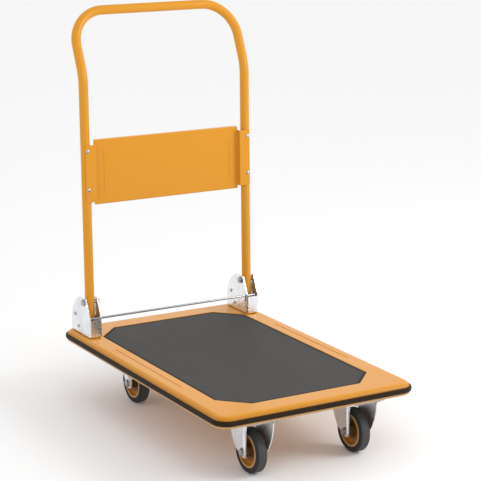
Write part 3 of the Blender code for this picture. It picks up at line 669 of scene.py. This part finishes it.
def layFloor():
    # just under the wheels, so that nothing lies in one plane with it
    bpy.ops.mesh.primitive_plane_add(size=2 * studio["floorHalf"], location=(0, 0, -0.0005))
    floor = bpy.context.object
    floor.name = "floor"
    finish = Finish("paleFloor", Specular_IOR_Level=0.1)
    mottle = finish.noise(3, 3)
    finish.feed(Base_Color=finish.mix(mottle, studio["floor"], studio["floorShade"]))
    finish.feed(Roughness=mottle * 0.05 + 0.85)
    floor.data.materials.append(finish.material)


selectOnly()
placeCamera()
lightStudio()
layFloor()
bpy.context.scene.view_settings.view_transform = "Standard"
print("camera, floor and light placed")


deckShape = dict(corner=0.03, cornerSteps=10, edgeRound=0.0115, edgeSteps=8, sheet=0.0018,
    recess=0.003, recessGap=0.0015, chamfer=0.0553, recessSlope=(0.997, 0.995, 1),
    recessSoft=0.0015, recessReach=0.004, cutterTop=0.01, lip=0.0045, lipRise=0.0016,
    lipSoft=0.0012, grooveY=0.2075, grooveHalf=0.15, grooveRadius=0.0028, grooveDepth=0.0008,
    matSoft=0.0006)


def octagon(halfX, halfY, chamfer):
    quarter = ((halfX, halfY - chamfer), (halfX - chamfer, halfY))
    return [*quarter, *((-x, y) for x, y in reversed(quarter)), *((-x, -y) for x, y in quarter),
        *((x, -y) for x, y in reversed(quarter))]


def buildDeck():
    shape = deckShape
    low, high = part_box("deck")
    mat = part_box("deck_mat")[1]
    gap, rise = shape["recessGap"], shape["lipRise"]
    deck = roundedPlate((high.x, high.y), shape["corner"], low.z + rise, high.z,
        shape["cornerSteps"])
    soften(deck, lambda at, way: at.z > high.z - nearly, shape["edgeRound"], shape["edgeSteps"])
    outline = octagon(mat.x + gap, mat.y + gap, shape["chamfer"] + gap * 0.4)
    floor = high.z - shape["recess"]
    recess = drawn(outline, floor, high.z + shape["cutterTop"])
    openEdit(recess)  # the step is pressed with a slight slope
    pick(recess, "FACE", lambda at, way: way.z < -0.9)
    stretch(shape["recessSlope"], (0, 0, floor))
    closeEdit()
    combine(deck, recess)
    for sign in (1, -1):
        y, end = sign * shape["grooveY"], shape["grooveHalf"]
        groove = arc((end, y), shape["grooveRadius"], -pi / 2, pi / 2, 8)
        groove += arc((-end, y), shape["grooveRadius"], pi / 2, 3 * pi / 2, 8)
        combine(deck, drawn(groove, high.z - shape["grooveDepth"], high.z + shape["cutterTop"]))
    reach = shape["recessReach"]
    openEdit(deck)
    softenEdges(deck, lambda at, way: (at.z > high.z - nearly and abs(way.z) < 0.1
        and abs(at.x) < mat.x + reach and abs(at.y) < mat.y + reach and onOctagon(at, outline)),
        shape["recessSoft"], 3)
    softenEdges(deck, lambda at, way: near(at.z, floor) and abs(way.z) < 0.1,
        shape["recessSoft"] * 0.7, 2)
    pick(deck, "FACE", lambda at, way: way.z < -0.9 and at.z < low.z + 0.01)
    bpy.ops.mesh.delete(type="FACE")
    pick(deck, "EDGE", lambda at, way: at.z < low.z + rise + nearly and abs(way.z) < 0.1)
    pull(z=-rise)  # the skirt's foot turns in
    bpy.ops.transform.shrink_fatten(value=-shape["lip"], use_even_offset=True)
    softenEdges(deck, lambda at, way: near(at.z, low.z + rise) and abs(way.z) < 0.1,
        shape["lipSoft"], 3)
    closeEdit()
    facesOut(deck)
    thicken(deck, shape["sheet"], even=True)
    handOver(deck, "deckShell", "platform", paint, ["deck"], smooth=28)


def onOctagon(point, outline):  # whether a point lies on the line of one of its sides
    for (ax, ay), (bx, by) in zip(outline, outline[1:] + outline[:1]):
        length = hypot(bx - ax, by - ay)
        if abs((bx - ax) * (point.y - ay) - (by - ay) * (point.x - ax)) / length < 4 * nearly:
            return True
    return False


def buildMat():
    low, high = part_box("deck_mat")
    sheet = drawn(octagon(high.x, high.y, deckShape["chamfer"]), low.z, high.z)
    soften(sheet, lambda at, way: at.z > high.z - nearly, deckShape["matSoft"], 3)
    handOver(sheet, "deckMat", "platform", vinyl, ["deck_mat"])


# bumper strip: its section is pulled along each side and bent round each corner
bumperShape = dict(levels=18, edge=0.0012, bulge=0.0042, roundness=2.4, groove=0.0009,
    grooveHalf=0.22, seat=0.0003, cornerSteps=14)


def buildBumper():
    shape = bumperShape
    low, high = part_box("edge_bumper")
    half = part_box("deck")[1]
    corner = deckShape["corner"]
    section = [(shape["seat"], high.z), (shape["seat"], low.z)]
    for level in range(shape["levels"] + 1):
        share = level / shape["levels"] * 2 - 1  # -1 at the lower edge, 1 at the upper
        swell = (1 - abs(share) ** shape["roundness"]) ** 0.5
        out = shape["edge"] + (shape["bulge"] - shape["edge"]) * swell
        out -= shape["groove"] * max(0, 1 - (share / shape["grooveHalf"]) ** 2)
        section.append((out, (low.z + high.z) / 2 + share * (high.z - low.z) / 2))
    flatX, flatY = half.x - corner, half.y - corner
    strip = sketch([(half.x + out, -flatY, height) for out, height in section], True)
    for x, y in ((1, 1), (-1, 1), (-1, -1), (1, -1)):
        pull(*((0, 2 * flatY * y) if x == y else (-2 * flatX * y, 0)))
        bend((x * flatX, y * flatY, 0), (0, 0, 1), pi / 2, shape["cornerSteps"])
    closeEdit()
    facesOut(strip)
    handOver(strip, "bumperStrip", "platform", bumperFinish, ["edge_bumper"],
        smooth=50)


# channels under the deck, bent from sheet
channelShape = dict(sheet=0.002, fold=0.004, soft=0.0003)


def buildChannels():
    for name in ("cross_channel_front", "cross_channel_rear"):
        low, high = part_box(name)
        channel = block(low, high)
        openEdit(channel)
        pick(channel, "FACE", lambda at, way: way.z > 0.9 or abs(way.y) > 0.9)
        bpy.ops.mesh.delete(type="FACE")
        softenEdges(channel, lambda at, way: abs(way.y) > 0.9 and at.z < low.z + 0.001,
            channelShape["fold"], 5)
        closeEdit()
        thicken(channel, channelShape["sheet"])
        roundOff(channel, channelShape["soft"], 1)
        label = "crossChannel" + name.rsplit("_", 1)[1].capitalize()
        handOver(channel, label, "platform", paint, [name])


buildDeck()
buildMat()
buildBumper()
buildChannels()
print("deck done")


fastenerShape = dict(washer=0.0011, washerSoft=0.0003, pitch=0.0006, threadDepth=0.00025,
    lead=0.0005, rings=3)


def chamferedHexagon(corner, height, place=(0, 0, 0), turn=(0, 0, 0)):
    selectOnly()
    bpy.ops.mesh.primitive_cylinder_add(vertices=6, radius=corner, depth=height,
        location=(0, 0, height / 2))
    head = bpy.context.object
    freeze(head)
    flat, wide = corner * cos(pi / 6), corner * 1.01
    cone = turned([(wide, -0.001), (wide, height - (corner - flat) * 0.75), (flat * 0.97, height)],
        48)
    combine(head, cone, "INTERSECT")
    return setDown(head, place, turn)


def fastener(radius, nutSeat, headSeat, size, collar=0.0011, tail=0.0014):
    # a bolt about Z: its nut bears at nutSeat and its head at headSeat
    shape = fastenerShape
    corner, headHeight, nutHeight = size
    end, pitch = nutSeat - nutHeight - tail, shape["pitch"]
    thread = [(radius - shape["lead"], end)]
    for ring in range(shape["rings"]):
        thread += [(radius, end + (ring + 0.5) * pitch),
            (radius - shape["threadDepth"], end + (ring + 1) * pitch)]
    bolt = turned(thread + [(radius, nutSeat), (radius, headSeat + headHeight / 2)], 32)
    wide, soft = corner + shape["washer"], shape["washerSoft"]
    for low, high in ((nutSeat - collar, nutSeat), (headSeat, headSeat + collar)):
        combine(bolt, turned([(wide - soft, low), (wide, low + soft), (wide, high - soft),
            (wide - soft, high)], 40), "UNION")
    for height, seat, turn in ((headHeight, headSeat + collar, 0),
            (nutHeight, nutSeat - collar, pi)):
        combine(bolt, chamferedHexagon(corner, height - collar, (0, 0, seat), (turn, 0, 0)),
            "UNION")
    return bolt


# handle: modelled upright about its pivot, then leaned back onto it
pivot = jointAt("handle_fold")
handleShape = dict(lean=1.56, span=0.207, radius=0.01075, wall=0.0012, tail=0.05, straight=0.4924,
    bendRadius=0.11, bend=22.7, bendSteps=10, upper=0.05, corner=0.0795, cornerSteps=20, sides=36,
    hole=0.0043, rivets=(0.2605, 0.348), rivetHole=0.0024)


def lean(piece):
    return setDown(piece, pivot, (0, -radians(handleShape["lean"]), 0))


def buildTube():
    shape = handleShape
    span, turn, bow = shape["span"], radians(shape["bend"]), shape["bendRadius"]
    length = shape["tail"] + shape["straight"]
    ring = arc((0, span), shape["radius"], 0, 2 * pi, shape["sides"])[:-1]
    tube = sketch([(x, y, -shape["tail"]) for x, y in ring], True)
    along = Vector((-sin(turn), 0, cos(turn)))
    across = along.cross(Vector((0, -1, 0)))
    knee = Vector((-bow * (1 - cos(turn)), span, shape["straight"] + bow * sin(turn)))
    middle = knee + along * shape["upper"] - Vector((0, shape["corner"], 0))
    pull(z=length)
    bend((-bow, 0, shape["straight"]), (0, 1, 0), -turn, shape["bendSteps"])
    pull(*along * shape["upper"])
    bend(middle, across, pi / 2, shape["cornerSteps"])
    pull(y=-2 * middle.y)
    bend((middle.x, -middle.y, middle.z), across, pi / 2, shape["cornerSteps"])
    pull(*along * -shape["upper"])
    bend((-bow, 0, shape["straight"]), (0, 1, 0), turn, shape["bendSteps"])
    pull(z=-length)
    closeEdit()
    facesOut(tube)
    thicken(tube, shape["wall"])
    for sign in (1, -1):
        drill(tube, shape["hole"], (0, sign * span, 0), reach=0.016, turn=alongY)
        for height in shape["rivets"]:
            drill(tube, shape["rivetHole"], (shape["radius"], sign * span, height), reach=0.005,
                turn=alongX)
    lean(tube)
    handOver(tube, "handleTube", "handle", paint, ["handle_tube"], smooth=40)


# the plug's profile, from the tube's outer radius and then from its bore
plugShape = dict(cap=((-0.004, -0.0016), (-0.0024, -0.00145), (-0.0013, -0.001),
    (-0.0008, -0.0003)), stem=((0, -0.0003), (0, 0.011), (-0.001, 0.012)), gap=0.0003)


def buildPlugs():
    radius, low = handleShape["radius"], -handleShape["tail"]
    bore = radius - handleShape["wall"] - plugShape["gap"]
    plug = turned(shifted(plugShape["cap"], radius, low) + shifted(plugShape["stem"], bore, low),
        48)
    lean(setDown(plug, (0, handleShape["span"], 0)))
    shareOut(plug, "tubePlug%s", "handle", black, "tube_plug_%s", smooth=32)


# sign panel: one sheet with folded upper and lower edges and a stepped tab over each tube
panelShape = dict(sheet=0.0015, gap=0.0003, low=0.2235, high=0.371, half=0.1857, flange=0.01,
    flangeTaper=0.985, tabLow=0.2315, tabHigh=0.362, tabEnd=0.2125, tabCorner=0.0035, fold=0.0022,
    soft=0.0003, beadY=0.163, beadHalf=0.046, beadRadius=0.0022, beadDepth=0.0009, beadEnd=0.002)


def buildPanel():
    shape = panelShape
    face = shape["sheet"] / 2
    front = handleShape["radius"] + shape["gap"] + shape["sheet"]
    half, low, high = shape["half"], shape["low"], shape["high"]
    panel = sketch([(face, -half, z) for z in (low, shape["tabLow"], shape["tabHigh"], high)])
    pull(y=2 * half)
    if pick(panel, "FACE", lambda at, way: way.x < 0):
        bpy.ops.mesh.flip_normals()
    for sign in (1, -1):
        pick(panel, "EDGE", lambda at, way: at.y * sign > half - nearly
            and shape["tabLow"] < at.z < shape["tabHigh"])
        pull(x=front - face)
        pull(y=sign * (shape["tabEnd"] - half))
    for edge in (low, high):
        pick(panel, "EDGE", lambda at, way: near(at.z, edge))
        pull(x=-face - shape["flange"])
        stretch((1, shape["flangeTaper"], 1), (0, 0, edge))
    softenEdges(panel, lambda at, way: (near(abs(at.y), half) and abs(way.z) > 0.9
        and shape["tabLow"] < at.z < shape["tabHigh"])
        or (abs(way.y) > 0.9 and near(at.x, face) and (near(at.z, low) or near(at.z, high))),
        shape["fold"], 5)
    pick(panel, "VERT", lambda at, way: abs(at.y) > shape["tabEnd"] - nearly)
    roundCorners(shape["tabCorner"], 5)
    closeEdit()
    thicken(panel, shape["sheet"], even=True)
    for sign in (1, -1):
        radius, end = shape["beadRadius"], -shape["beadHalf"]
        bead = turned(bothWays([(radius * 0.4, end - shape["beadEnd"]), (radius, end)]), 24)
        combine(panel, setDown(bead, (face + radius - shape["beadDepth"], sign * shape["beadY"],
            (low + high) / 2)))
    roundOff(panel, shape["soft"], 2, 50)
    lean(panel)
    handOver(panel, "signPanel", "handle", paint, ["back_panel"], smooth=40)


# the rivet's profile: radius, and height over the stem's end or over the sheet
rivetShape = dict(stem=((0.0015, 0), (0.0021, 0.0005)), stemLength=0.0035, lift=0.0006,
    head=((0.0021, 0), (0.0042, 0), (0.0042, 0.0003), (0.0039, 0.0008), (0.0032, 0.00125),
    (0.0022, 0.0016), (0.0012, 0.00175), (0.001, 0.0013), (0.0006, 0.0012)))


def buildRivets():
    shape = rivetShape
    seat = handleShape["radius"] + panelShape["sheet"] + shape["lift"]
    stem = handleShape["radius"] - handleShape["wall"] - shape["stemLength"]
    rivet = turned(shifted(shape["stem"], 0, stem) + shifted(shape["head"], 0, seat), 32)
    for label, height in zip(("lower", "upper"), handleShape["rivets"]):
        left = lean(again(rivet, (0, handleShape["span"], height), alongX))
        shareOut(left, "panelRivet%s" + label.capitalize(), "handle", steel,
            "panel_rivet_%s_" + label, smooth=40)
    bpy.data.objects.remove(rivet, do_unlink=True)


buildTube()
buildPlugs()
buildPanel()
buildRivets()
print("handle done")


# hinge brackets: pressed plate with two cheeks, a base and a front web
bracketShape = dict(half=0.0155, plate=0.0025, fold=0.004, soft=0.0004, webTop=0.195,
    cheekRise=0.003, topBack=-0.301, topFront=-0.276, topRound=0.004, topStart=25,
    shoulder=(-0.284, 0.177), shoulderSteps=16, windowRound=0.0024, past=0.02,
    boltX=(-0.336, -0.268), boltHole=0.0034, pivotHole=0.0043, latchHole=0.0028,
    peg=(-0.3125, 0.169), pegHole=0.0023, rod=(-0.2605, 0.197), rodRadius=0.0025, travel=13.0,
    slotGap=0.0007)
latchPin = jointAt("release_press")


def bracketOutline(low, high):
    shape = bracketShape
    outline = [(low.x, low.z), (high.x, low.z), (high.x, shape["webTop"] + shape["cheekRise"])]
    outline += arc((shape["topFront"], high.z - shape["topRound"]), shape["topRound"],
        radians(shape["topStart"]), pi / 2, 8)
    x, z = shape["shoulder"]
    radius = hypot(shape["topBack"] - x, high.z - z)
    start = atan2(high.z - z, shape["topBack"] - x)
    squash = (x - low.x) / radius  # the back curve widens until it meets the base's end
    for step in range(shape["shoulderSteps"] + 1):
        share = step / shape["shoulderSteps"]
        angle = start + (pi - start) * share
        outline.append((x + radius * cos(angle) * (1 + (squash - 1) * share),
            z + radius * sin(angle)))
    return outline


def slotOutline():
    shape = bracketShape
    centre = (latchPin.x, latchPin.z)
    reach = (shape["rod"][0] - centre[0], shape["rod"][1] - centre[1])
    radius, start = hypot(*reach), atan2(reach[1], reach[0])
    end, width = start - radians(shape["travel"]), shape["rodRadius"] + shape["slotGap"]
    upper, lower = ((centre[0] + radius * cos(a), centre[1] + radius * sin(a))
        for a in (start, end))
    return (arc(centre, radius + width, end, start, 8)
        + arc(upper, width, start, start + pi, 12)[1:-1]
        + arc(centre, radius - width, start, end, 8) + arc(lower, width, end + pi, end + 2 * pi,
        12)[1:-1])


def foldEdges(piece, front, base, radius):  # the bends between base, web and cheeks
    soften(piece, lambda at, way: ((near(at.x, front) and (abs(way.z) > 0.9 or near(at.z, base)))
        or (near(at.z, base) and abs(way.x) > 0.9)), radius, 6)


def buildBracket():
    shape = bracketShape
    low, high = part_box("hinge_bracket_left")
    y, plate, half = (low.y + high.y) / 2, shape["plate"], shape["half"]
    inner, past = half - plate, shape["past"]
    bracket = drawn(bracketOutline(low, high), y - half, y + half, "Y")
    foldEdges(bracket, high.x, low.z, shape["fold"])
    hollow = block((low.x - past, y - inner, low.z + plate),
        (high.x - plate, y + inner, high.z + past))
    foldEdges(hollow, high.x - plate, low.z + plate, shape["fold"] - plate)
    combine(bracket, hollow)
    window = block((high.x - past, y - inner, shape["webTop"]),
        (high.x + past / 2, y + inner, high.z + past))
    soften(window, lambda at, way: abs(way.x) > 0.9 and at.z < shape["webTop"] + 0.001,
        shape["windowRound"], 5)
    combine(bracket, window)
    for (x, z), radius in (((pivot.x, pivot.z), shape["pivotHole"]),
            ((latchPin.x, latchPin.z), shape["latchHole"]), (shape["peg"], shape["pegHole"])):
        drill(bracket, radius, (x, y, z), reach=0.03, turn=alongY)
    combine(bracket, drawn(slotOutline(), y - half - 0.005, y - inner + 0.003, "Y"))
    for x in shape["boltX"]:
        drill(bracket, shape["boltHole"], (x, y, low.z), reach=0.01)
    roundOff(bracket, shape["soft"], 2, 40)
    shareOut(bracket, "hingeBracket%s", "platform", zinc, "hinge_bracket_%s")


# bolts are (radius, (corner, head height, nut height)); a cap is drawn from the pin's end
hardwareShape = dict(pivot=(0.004, (0.0072, 0.004, 0.0055)), base=(0.003, (0.0058, 0.004, 0.0062)),
    gap=0.0003, latch=0.0025, peg=0.002, capWidth=0.0016,
    cap=((-0.0022, -0.0018), (-0.0012, -0.0017), (-0.0004, -0.0013), (0, -0.0007), (0, 0)),
    rodEnd=((-0.0012, 0), (-0.0004, 0.0003), (0, 0.001)))


def buildBracketHardware():
    shape = hardwareShape
    low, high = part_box("hinge_bracket_left")
    y, seat = (low.y + high.y) / 2, bracketShape["half"] + shape["gap"]
    radius, size = shape["pivot"]
    bolt = fastener(radius, -seat, seat, size)
    setDown(bolt, (pivot.x, y, pivot.z), (-pi / 2, 0, 0))  # nuts face the middle of the cart
    shareOut(bolt, "pivotBolt%s", "platform", boltZinc, "pivot_bolt_%s")
    for label, node, (x, z), radius in (("latchPin%s", "latch_pin_%s", (latchPin.x, latchPin.z),
            shape["latch"]), ("springPeg%s", "spring_peg_%s", bracketShape["peg"], shape["peg"])):
        cap = shifted(shape["cap"], radius + shape["capWidth"], -seat)
        pin = turned(bothWays(cap + [(radius, -seat)]), 32)
        setDown(pin, (x, y, z), alongY)
        shareOut(pin, label, "platform", boltZinc, node, smooth=40)
    top = low.z + bracketShape["plate"] + shape["gap"]
    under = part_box("deck")[1].z - 0.0024
    radius, size = shape["base"]
    for label, x in zip(("rear", "front"), bracketShape["boltX"]):
        bolt = fastener(radius, under, top, size, collar=0.0009, tail=0.0008)
        setDown(bolt, (x, y, 0))
        shareOut(bolt, "bracketBolt" + label.capitalize() + "%s", "platform",
            boltZinc, "bracket_bolt_%s_" + label)


def buildRod():
    low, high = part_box("release_rod")
    rod = turned(bothWays(shifted(hardwareShape["rodEnd"], (high.x - low.x) / 2, -high.y)), 40)
    setDown(rod, ((low.x + high.x) / 2, 0, (low.z + high.z) / 2), alongY)
    handOver(rod, "releaseRod", "release", steel, ["release_rod"], smooth=40)


buildBracket()
buildBracketHardware()
buildRod()
print("hinges done")


# casters: the left ones are modelled about their own middle, their twins go to the right;
# a profile is a list of offsets from a radius and a height
casterShape = dict(axle=0.0475, plateHalf=0.038, fixedHalf=0.062, swivelHalf=0.05,
    plateCorner=0.006, plate=0.003, plateTop=0.1272, inner=0.0165, sheet=0.0025, rib=0.003,
    ribSoft=0.002, fold=0.0026, soft=0.0004, gap=0.0003, axleHole=0.0043, yokeTop=0.108, yoke=0.027,
    race=0.0235, pin=0.006, pinHead=0.004, cup=((-0.002, 0), (0, 0.0004), (0.0016, 0.0016),
    (0.0026, 0.004)), cupFoot=((0.0034, -0.001), (0.005, 0.0004)), cupRise=0.0064,
    pinCap=((-0.007, -0.004), (-0.0024, -0.0037), (-0.0009, -0.0028), (0, -0.0015), (0, 0)),
    pinTop=((0, -0.0008), (-0.0005, -0.0003)), yokeFoot=((-0.0004, 0), (0, 0.0004)),
    yokeEdge=((0, -0.001), (-0.001, 0)), raceBore=0.008, raceHeight=0.0056, raceWidth=0.001,
    raceSide=((-0.0004, 0), (0, 0.0004), (0, 0.0016), (-0.0007, 0.0021), (0, 0.0026), (0, 0.004),
    (-0.0008, 0.005), (-0.0024, 0.0056)))
trail = 0.033


# the outlines of the legs and of the ribs pressed into them, about the axle: the ends of the
# upper edge, the back edge, the round end (offset, radius, angles and steps), the front edge
legShape = dict(
    fixedLeg=((0.0095, -0.06), ((-0.0565, 0.1), (-0.051, 0.08), (-0.042, 0.061), (-0.031, 0.047)),
        (0, 0.014, 225, 312, 14), ()),
    fixedRib=((0.004, -0.029), ((-0.025, 0.056),), (-0.0015, 0.0105, 215, 325, 12), ()),
    swivelLeg=((-0.01, -0.056), ((-0.0545, 0.09), (-0.031, 0.064)), (0, 0.013, 205, 360, 18),
        ((0.013, 0.064), (0.008, 0.086))),
    swivelRib=((-0.023, -0.041), ((-0.021, 0.066),), (-0.0005, 0.01, 210, 360, 14), ()))


def legOutline(name, top, flip):
    ends, back, (x, radius, start, end, steps), front = legShape[name]
    foot = arc((x, casterShape["axle"]), radius, radians(start), radians(end), steps)
    outline = [(ends[0], top), (ends[1], top), *back, *foot, *front]
    return [(flip * x, z) for x, z in outline]


def pressedLeg(kind, top, ribTop, side, flip=1):
    shape = casterShape
    outer = shape["inner"] + shape["sheet"]
    leg = drawn(legOutline(kind + "Leg", top, flip), side * shape["inner"], side * outer, "Y")
    raised = drawn(legOutline(kind + "Rib", ribTop, flip), side * (outer - 0.0005),
        side * (outer + shape["rib"]), "Y")
    openEdit(raised)
    softenEdges(raised, lambda at, way: at.y * side > outer + shape["rib"] - nearly,
        shape["ribSoft"], 4)
    closeEdit()
    combine(leg, raised, "UNION")
    return leg


def casterPlate(half):
    shape = casterShape
    return roundedPlate((half, shape["plateHalf"]), shape["plateCorner"],
        shape["plateTop"] - shape["plate"], shape["plateTop"], 8)


def filletLegs(fork, under):  # the bend where each leg leaves its plate
    shape = casterShape
    outer = shape["inner"] + shape["sheet"]
    soften(fork, lambda at, way: near(at.z, under) and abs(way.x) > 0.98
        and (near(abs(at.y), shape["inner"]) or near(abs(at.y), outer)), shape["fold"], 4)


# corner, head height and nut height; the collar is drawn from the plate down
axleBolt = (0.004, (0.0075, 0.0045, 0.006))
plateBolt = dict(corner=0.0058, height=0.0042, inset=(0.0125, 0.011), turn=0.4,
    collar=((0.0066, -0.0001), (0.0069, 0.0002), (0.0069, 0.0008), (0.0066, 0.0011)))


def buildAxleBolt(axle, name, body, node):
    shape = casterShape
    seat = shape["inner"] + shape["sheet"] + shape["rib"] + shape["gap"]
    radius, size = axleBolt
    bolt = setDown(fastener(radius, -seat, seat, size), axle, (-pi / 2, 0, 0))
    shareOut(bolt, name, body, boltZinc, node)


def buildPlateBolts(name, place, half):
    shape = casterShape
    under = shape["plateTop"] - shape["plate"] - 0.0002
    insetX, insetY = plateBolt["inset"]
    for number, (x, y) in enumerate(((1, 1), (1, -1), (-1, 1), (-1, -1))):
        head = chamferedHexagon(plateBolt["corner"], plateBolt["height"])
        combine(head, turned(plateBolt["collar"], 40), "UNION")
        setDown(head, (place.x + x * (half - insetX), place.y + y * (shape["plateHalf"] - insetY),
            under), (pi, 0, plateBolt["turn"] * number))
        shareOut(head, "%s%d%%s" % (name, number + 1), "platform", boltZinc, None)


def buildFixedCaster():
    shape = casterShape
    axle = jointAt("wheel_spin_front_left")
    under = shape["plateTop"] - shape["plate"]
    fork = casterPlate(shape["fixedHalf"])
    for side, flip in ((-1, 1), (1, -1)):
        leg = pressedLeg("fixed", under + 0.001, under - 0.004, side, flip)
        combine(fork, leg, "UNION")
    filletLegs(fork, under)
    drill(fork, shape["axleHole"], (0, 0, shape["axle"]), reach=0.04, turn=alongY)
    roundOff(fork, shape["soft"], 2, 40)
    setDown(fork, (axle.x, axle.y, 0))
    shareOut(fork, "fixedFork%s", "platform", zinc, "fixed_fork_%s",
        shift=(0, -2 * axle.y, 0))
    buildAxleBolt(axle, "axleBoltFront%s", "platform", "axle_bolt_front_%s")
    buildPlateBolts("fixedPlateBolt", axle, shape["fixedHalf"])


def buildSwivelCaster():
    shape = casterShape
    axle = jointAt("wheel_spin_rear_left")
    place = (axle.x - trail, axle.y, 0)
    under, top, yoke = shape["plateTop"] - shape["plate"], shape["plateTop"], shape["yokeTop"]
    pinRadius, race, foot = shape["pin"], shape["race"], yoke - shape["sheet"]
    plate = casterPlate(shape["swivelHalf"])
    combine(plate, turned(shifted(shape["cup"], race, yoke + shape["cupRise"])
        + shifted(shape["cupFoot"], race, under), 64), "UNION")
    drill(plate, pinRadius + shape["gap"], (0, 0, under), reach=0.03)
    roundOff(plate, shape["soft"], 2, 40)
    setDown(plate, place)
    shareOut(plate, "swivelPlate%s", "platform", zinc, "swivel_plate_%s")

    low = foot - shape["gap"]
    pin = turned(shifted(shape["pinCap"], pinRadius + shape["pinHead"], low) + [(pinRadius, low)]
        + shifted(shape["pinTop"], pinRadius, top), 48)
    setDown(pin, place)
    shareOut(pin, "kingPin%s", "platform", zinc, "king_pin_%s")

    fork = turned(shifted(shape["yokeFoot"], shape["yoke"], foot)
        + shifted(shape["yokeEdge"], shape["yoke"], yoke), 72)
    for side in (1, -1):
        leg = pressedLeg("swivel", yoke - 0.0005, yoke - 0.006, side)
        combine(fork, setDown(leg, (trail, 0, 0)), "UNION")
    filletLegs(fork, foot)
    drill(fork, shape["axleHole"], (trail, 0, shape["axle"]), reach=0.04, turn=alongY)
    drill(fork, pinRadius + shape["gap"], (0, 0, yoke), reach=0.02)
    roundOff(fork, shape["soft"], 2, 40)
    setDown(fork, place)
    shareOut(fork, "swivelFork%s", "swivel_%s", zinc, "swivel_fork_%s")

    low, bore = yoke + shape["gap"], pinRadius + shape["raceBore"]
    ring = turned([(bore, low)] + shifted(shape["raceSide"], race + shape["raceWidth"], low)
        + [(bore, low + shape["raceHeight"])], 72, True)
    setDown(ring, place)
    shareOut(ring, "ballRace%s", "swivel_%s", zinc, "ball_race_%s")
    buildAxleBolt(axle, "axleBoltRear%s", "swivel_%s", "axle_bolt_rear_%s")
    buildPlateBolts("swivelPlateBolt", Vector(place), shape["swivelHalf"])


# wheels: turned once and copied to each axle; each part of a profile is drawn from a corner
wheelShape = dict(radius=0.0475, half=0.012, inner=0.0365, shoulder=0.005, hub=0.0125,
    hubHalf=0.015, bush=0.0072, bore=0.0043, rim=0.0048, web=0.003, segments=96, coreGap=0.0003,
    coreStep=0.0005, bead=((0, -0.0017), (0.0006, -0.0005), (0.0016, 0), (0.003, 0),
    (0.0034, -0.0003), (0.004, -0.0003), (0.0044, 0)),
    rimOuter=((0, -0.0014), (-0.0004, -0.0004), (-0.0014, 0)),
    rimInner=((0.0012, 0), (0.0003, -0.0004), (0, -0.0014)),
    webOuter=((-0.0028, 0.0012), (-0.0042, 0.0002), (-0.006, 0)),
    webInner=((0.003, 0), (0.001, 0.0006), (0, 0.0024)), hubFace=((-0.0006, -0.0008), (-0.0014, 0)),
    hubBore=((0.001, 0), (0.0003, -0.0006)), bushPast=0.0006, bushSoft=0.0004)


def buildWheels():
    shape = wheelShape
    radius, half, inner, shoulder = (shape[key] for key in ("radius", "half", "inner", "shoulder"))
    side = shifted(shape["bead"], inner, half)
    side += arc((radius - shoulder, half - shoulder), shoulder, pi / 2, 0, 8)
    tyre = turned(bothWays(side), shape["segments"], True)

    rim, edge = inner - shape["coreGap"], half - shape["coreStep"]
    well, web, hub, hubHalf = rim - shape["rim"], shape["web"], shape["hub"], shape["hubHalf"]
    side = []
    for part, x, y in (("rimOuter", rim, edge), ("rimInner", well, edge), ("webOuter", well, web),
            ("webInner", hub, web), ("hubFace", hub, hubHalf), ("hubBore", shape["bush"], hubHalf)):
        side += shifted(shape[part], x, y)
    core = turned(bothWays(side), shape["segments"], True)

    end, soft = hubHalf + shape["bushPast"], shape["bushSoft"]
    bush = turned(bothWays([(shape["bore"], end - soft), (shape["bore"] + soft, end),
        (shape["bush"] - soft, end), (shape["bush"], end - soft)]), 64, True)

    for label in wheelNames:
        words = "".join(word.capitalize() for word in label.split("_"))
        centre = jointAt("wheel_spin_" + label)
        for piece, name, slotName, finish, node, smooth in ((tyre, "tyre", "tyre_rubber",
                tyreFinish, "tyre_", 40), (core, "wheelCore", "wheel_plastic", plastic,
                "wheel_core_", 34), (bush, "wheelBush", "zinc_plate", zinc, "wheel_bush_", 40)):
            handOver(again(piece, centre, alongY), name + words, "wheel_" + label, finish,
                [node + label], smooth)
    for piece in (tyre, core, bush):
        bpy.data.objects.remove(piece, do_unlink=True)


buildFixedCaster()
buildSwivelCaster()
buildWheels()
print("casters and wheels done")


# the latch levers and their springs keep their own shapes and only get a finish
for name, node in frame["nodes"].items():
    if name.startswith("latch_"):
        node.data.materials.clear()
        node.data.materials.append(steel if "spring" in name else zinc)
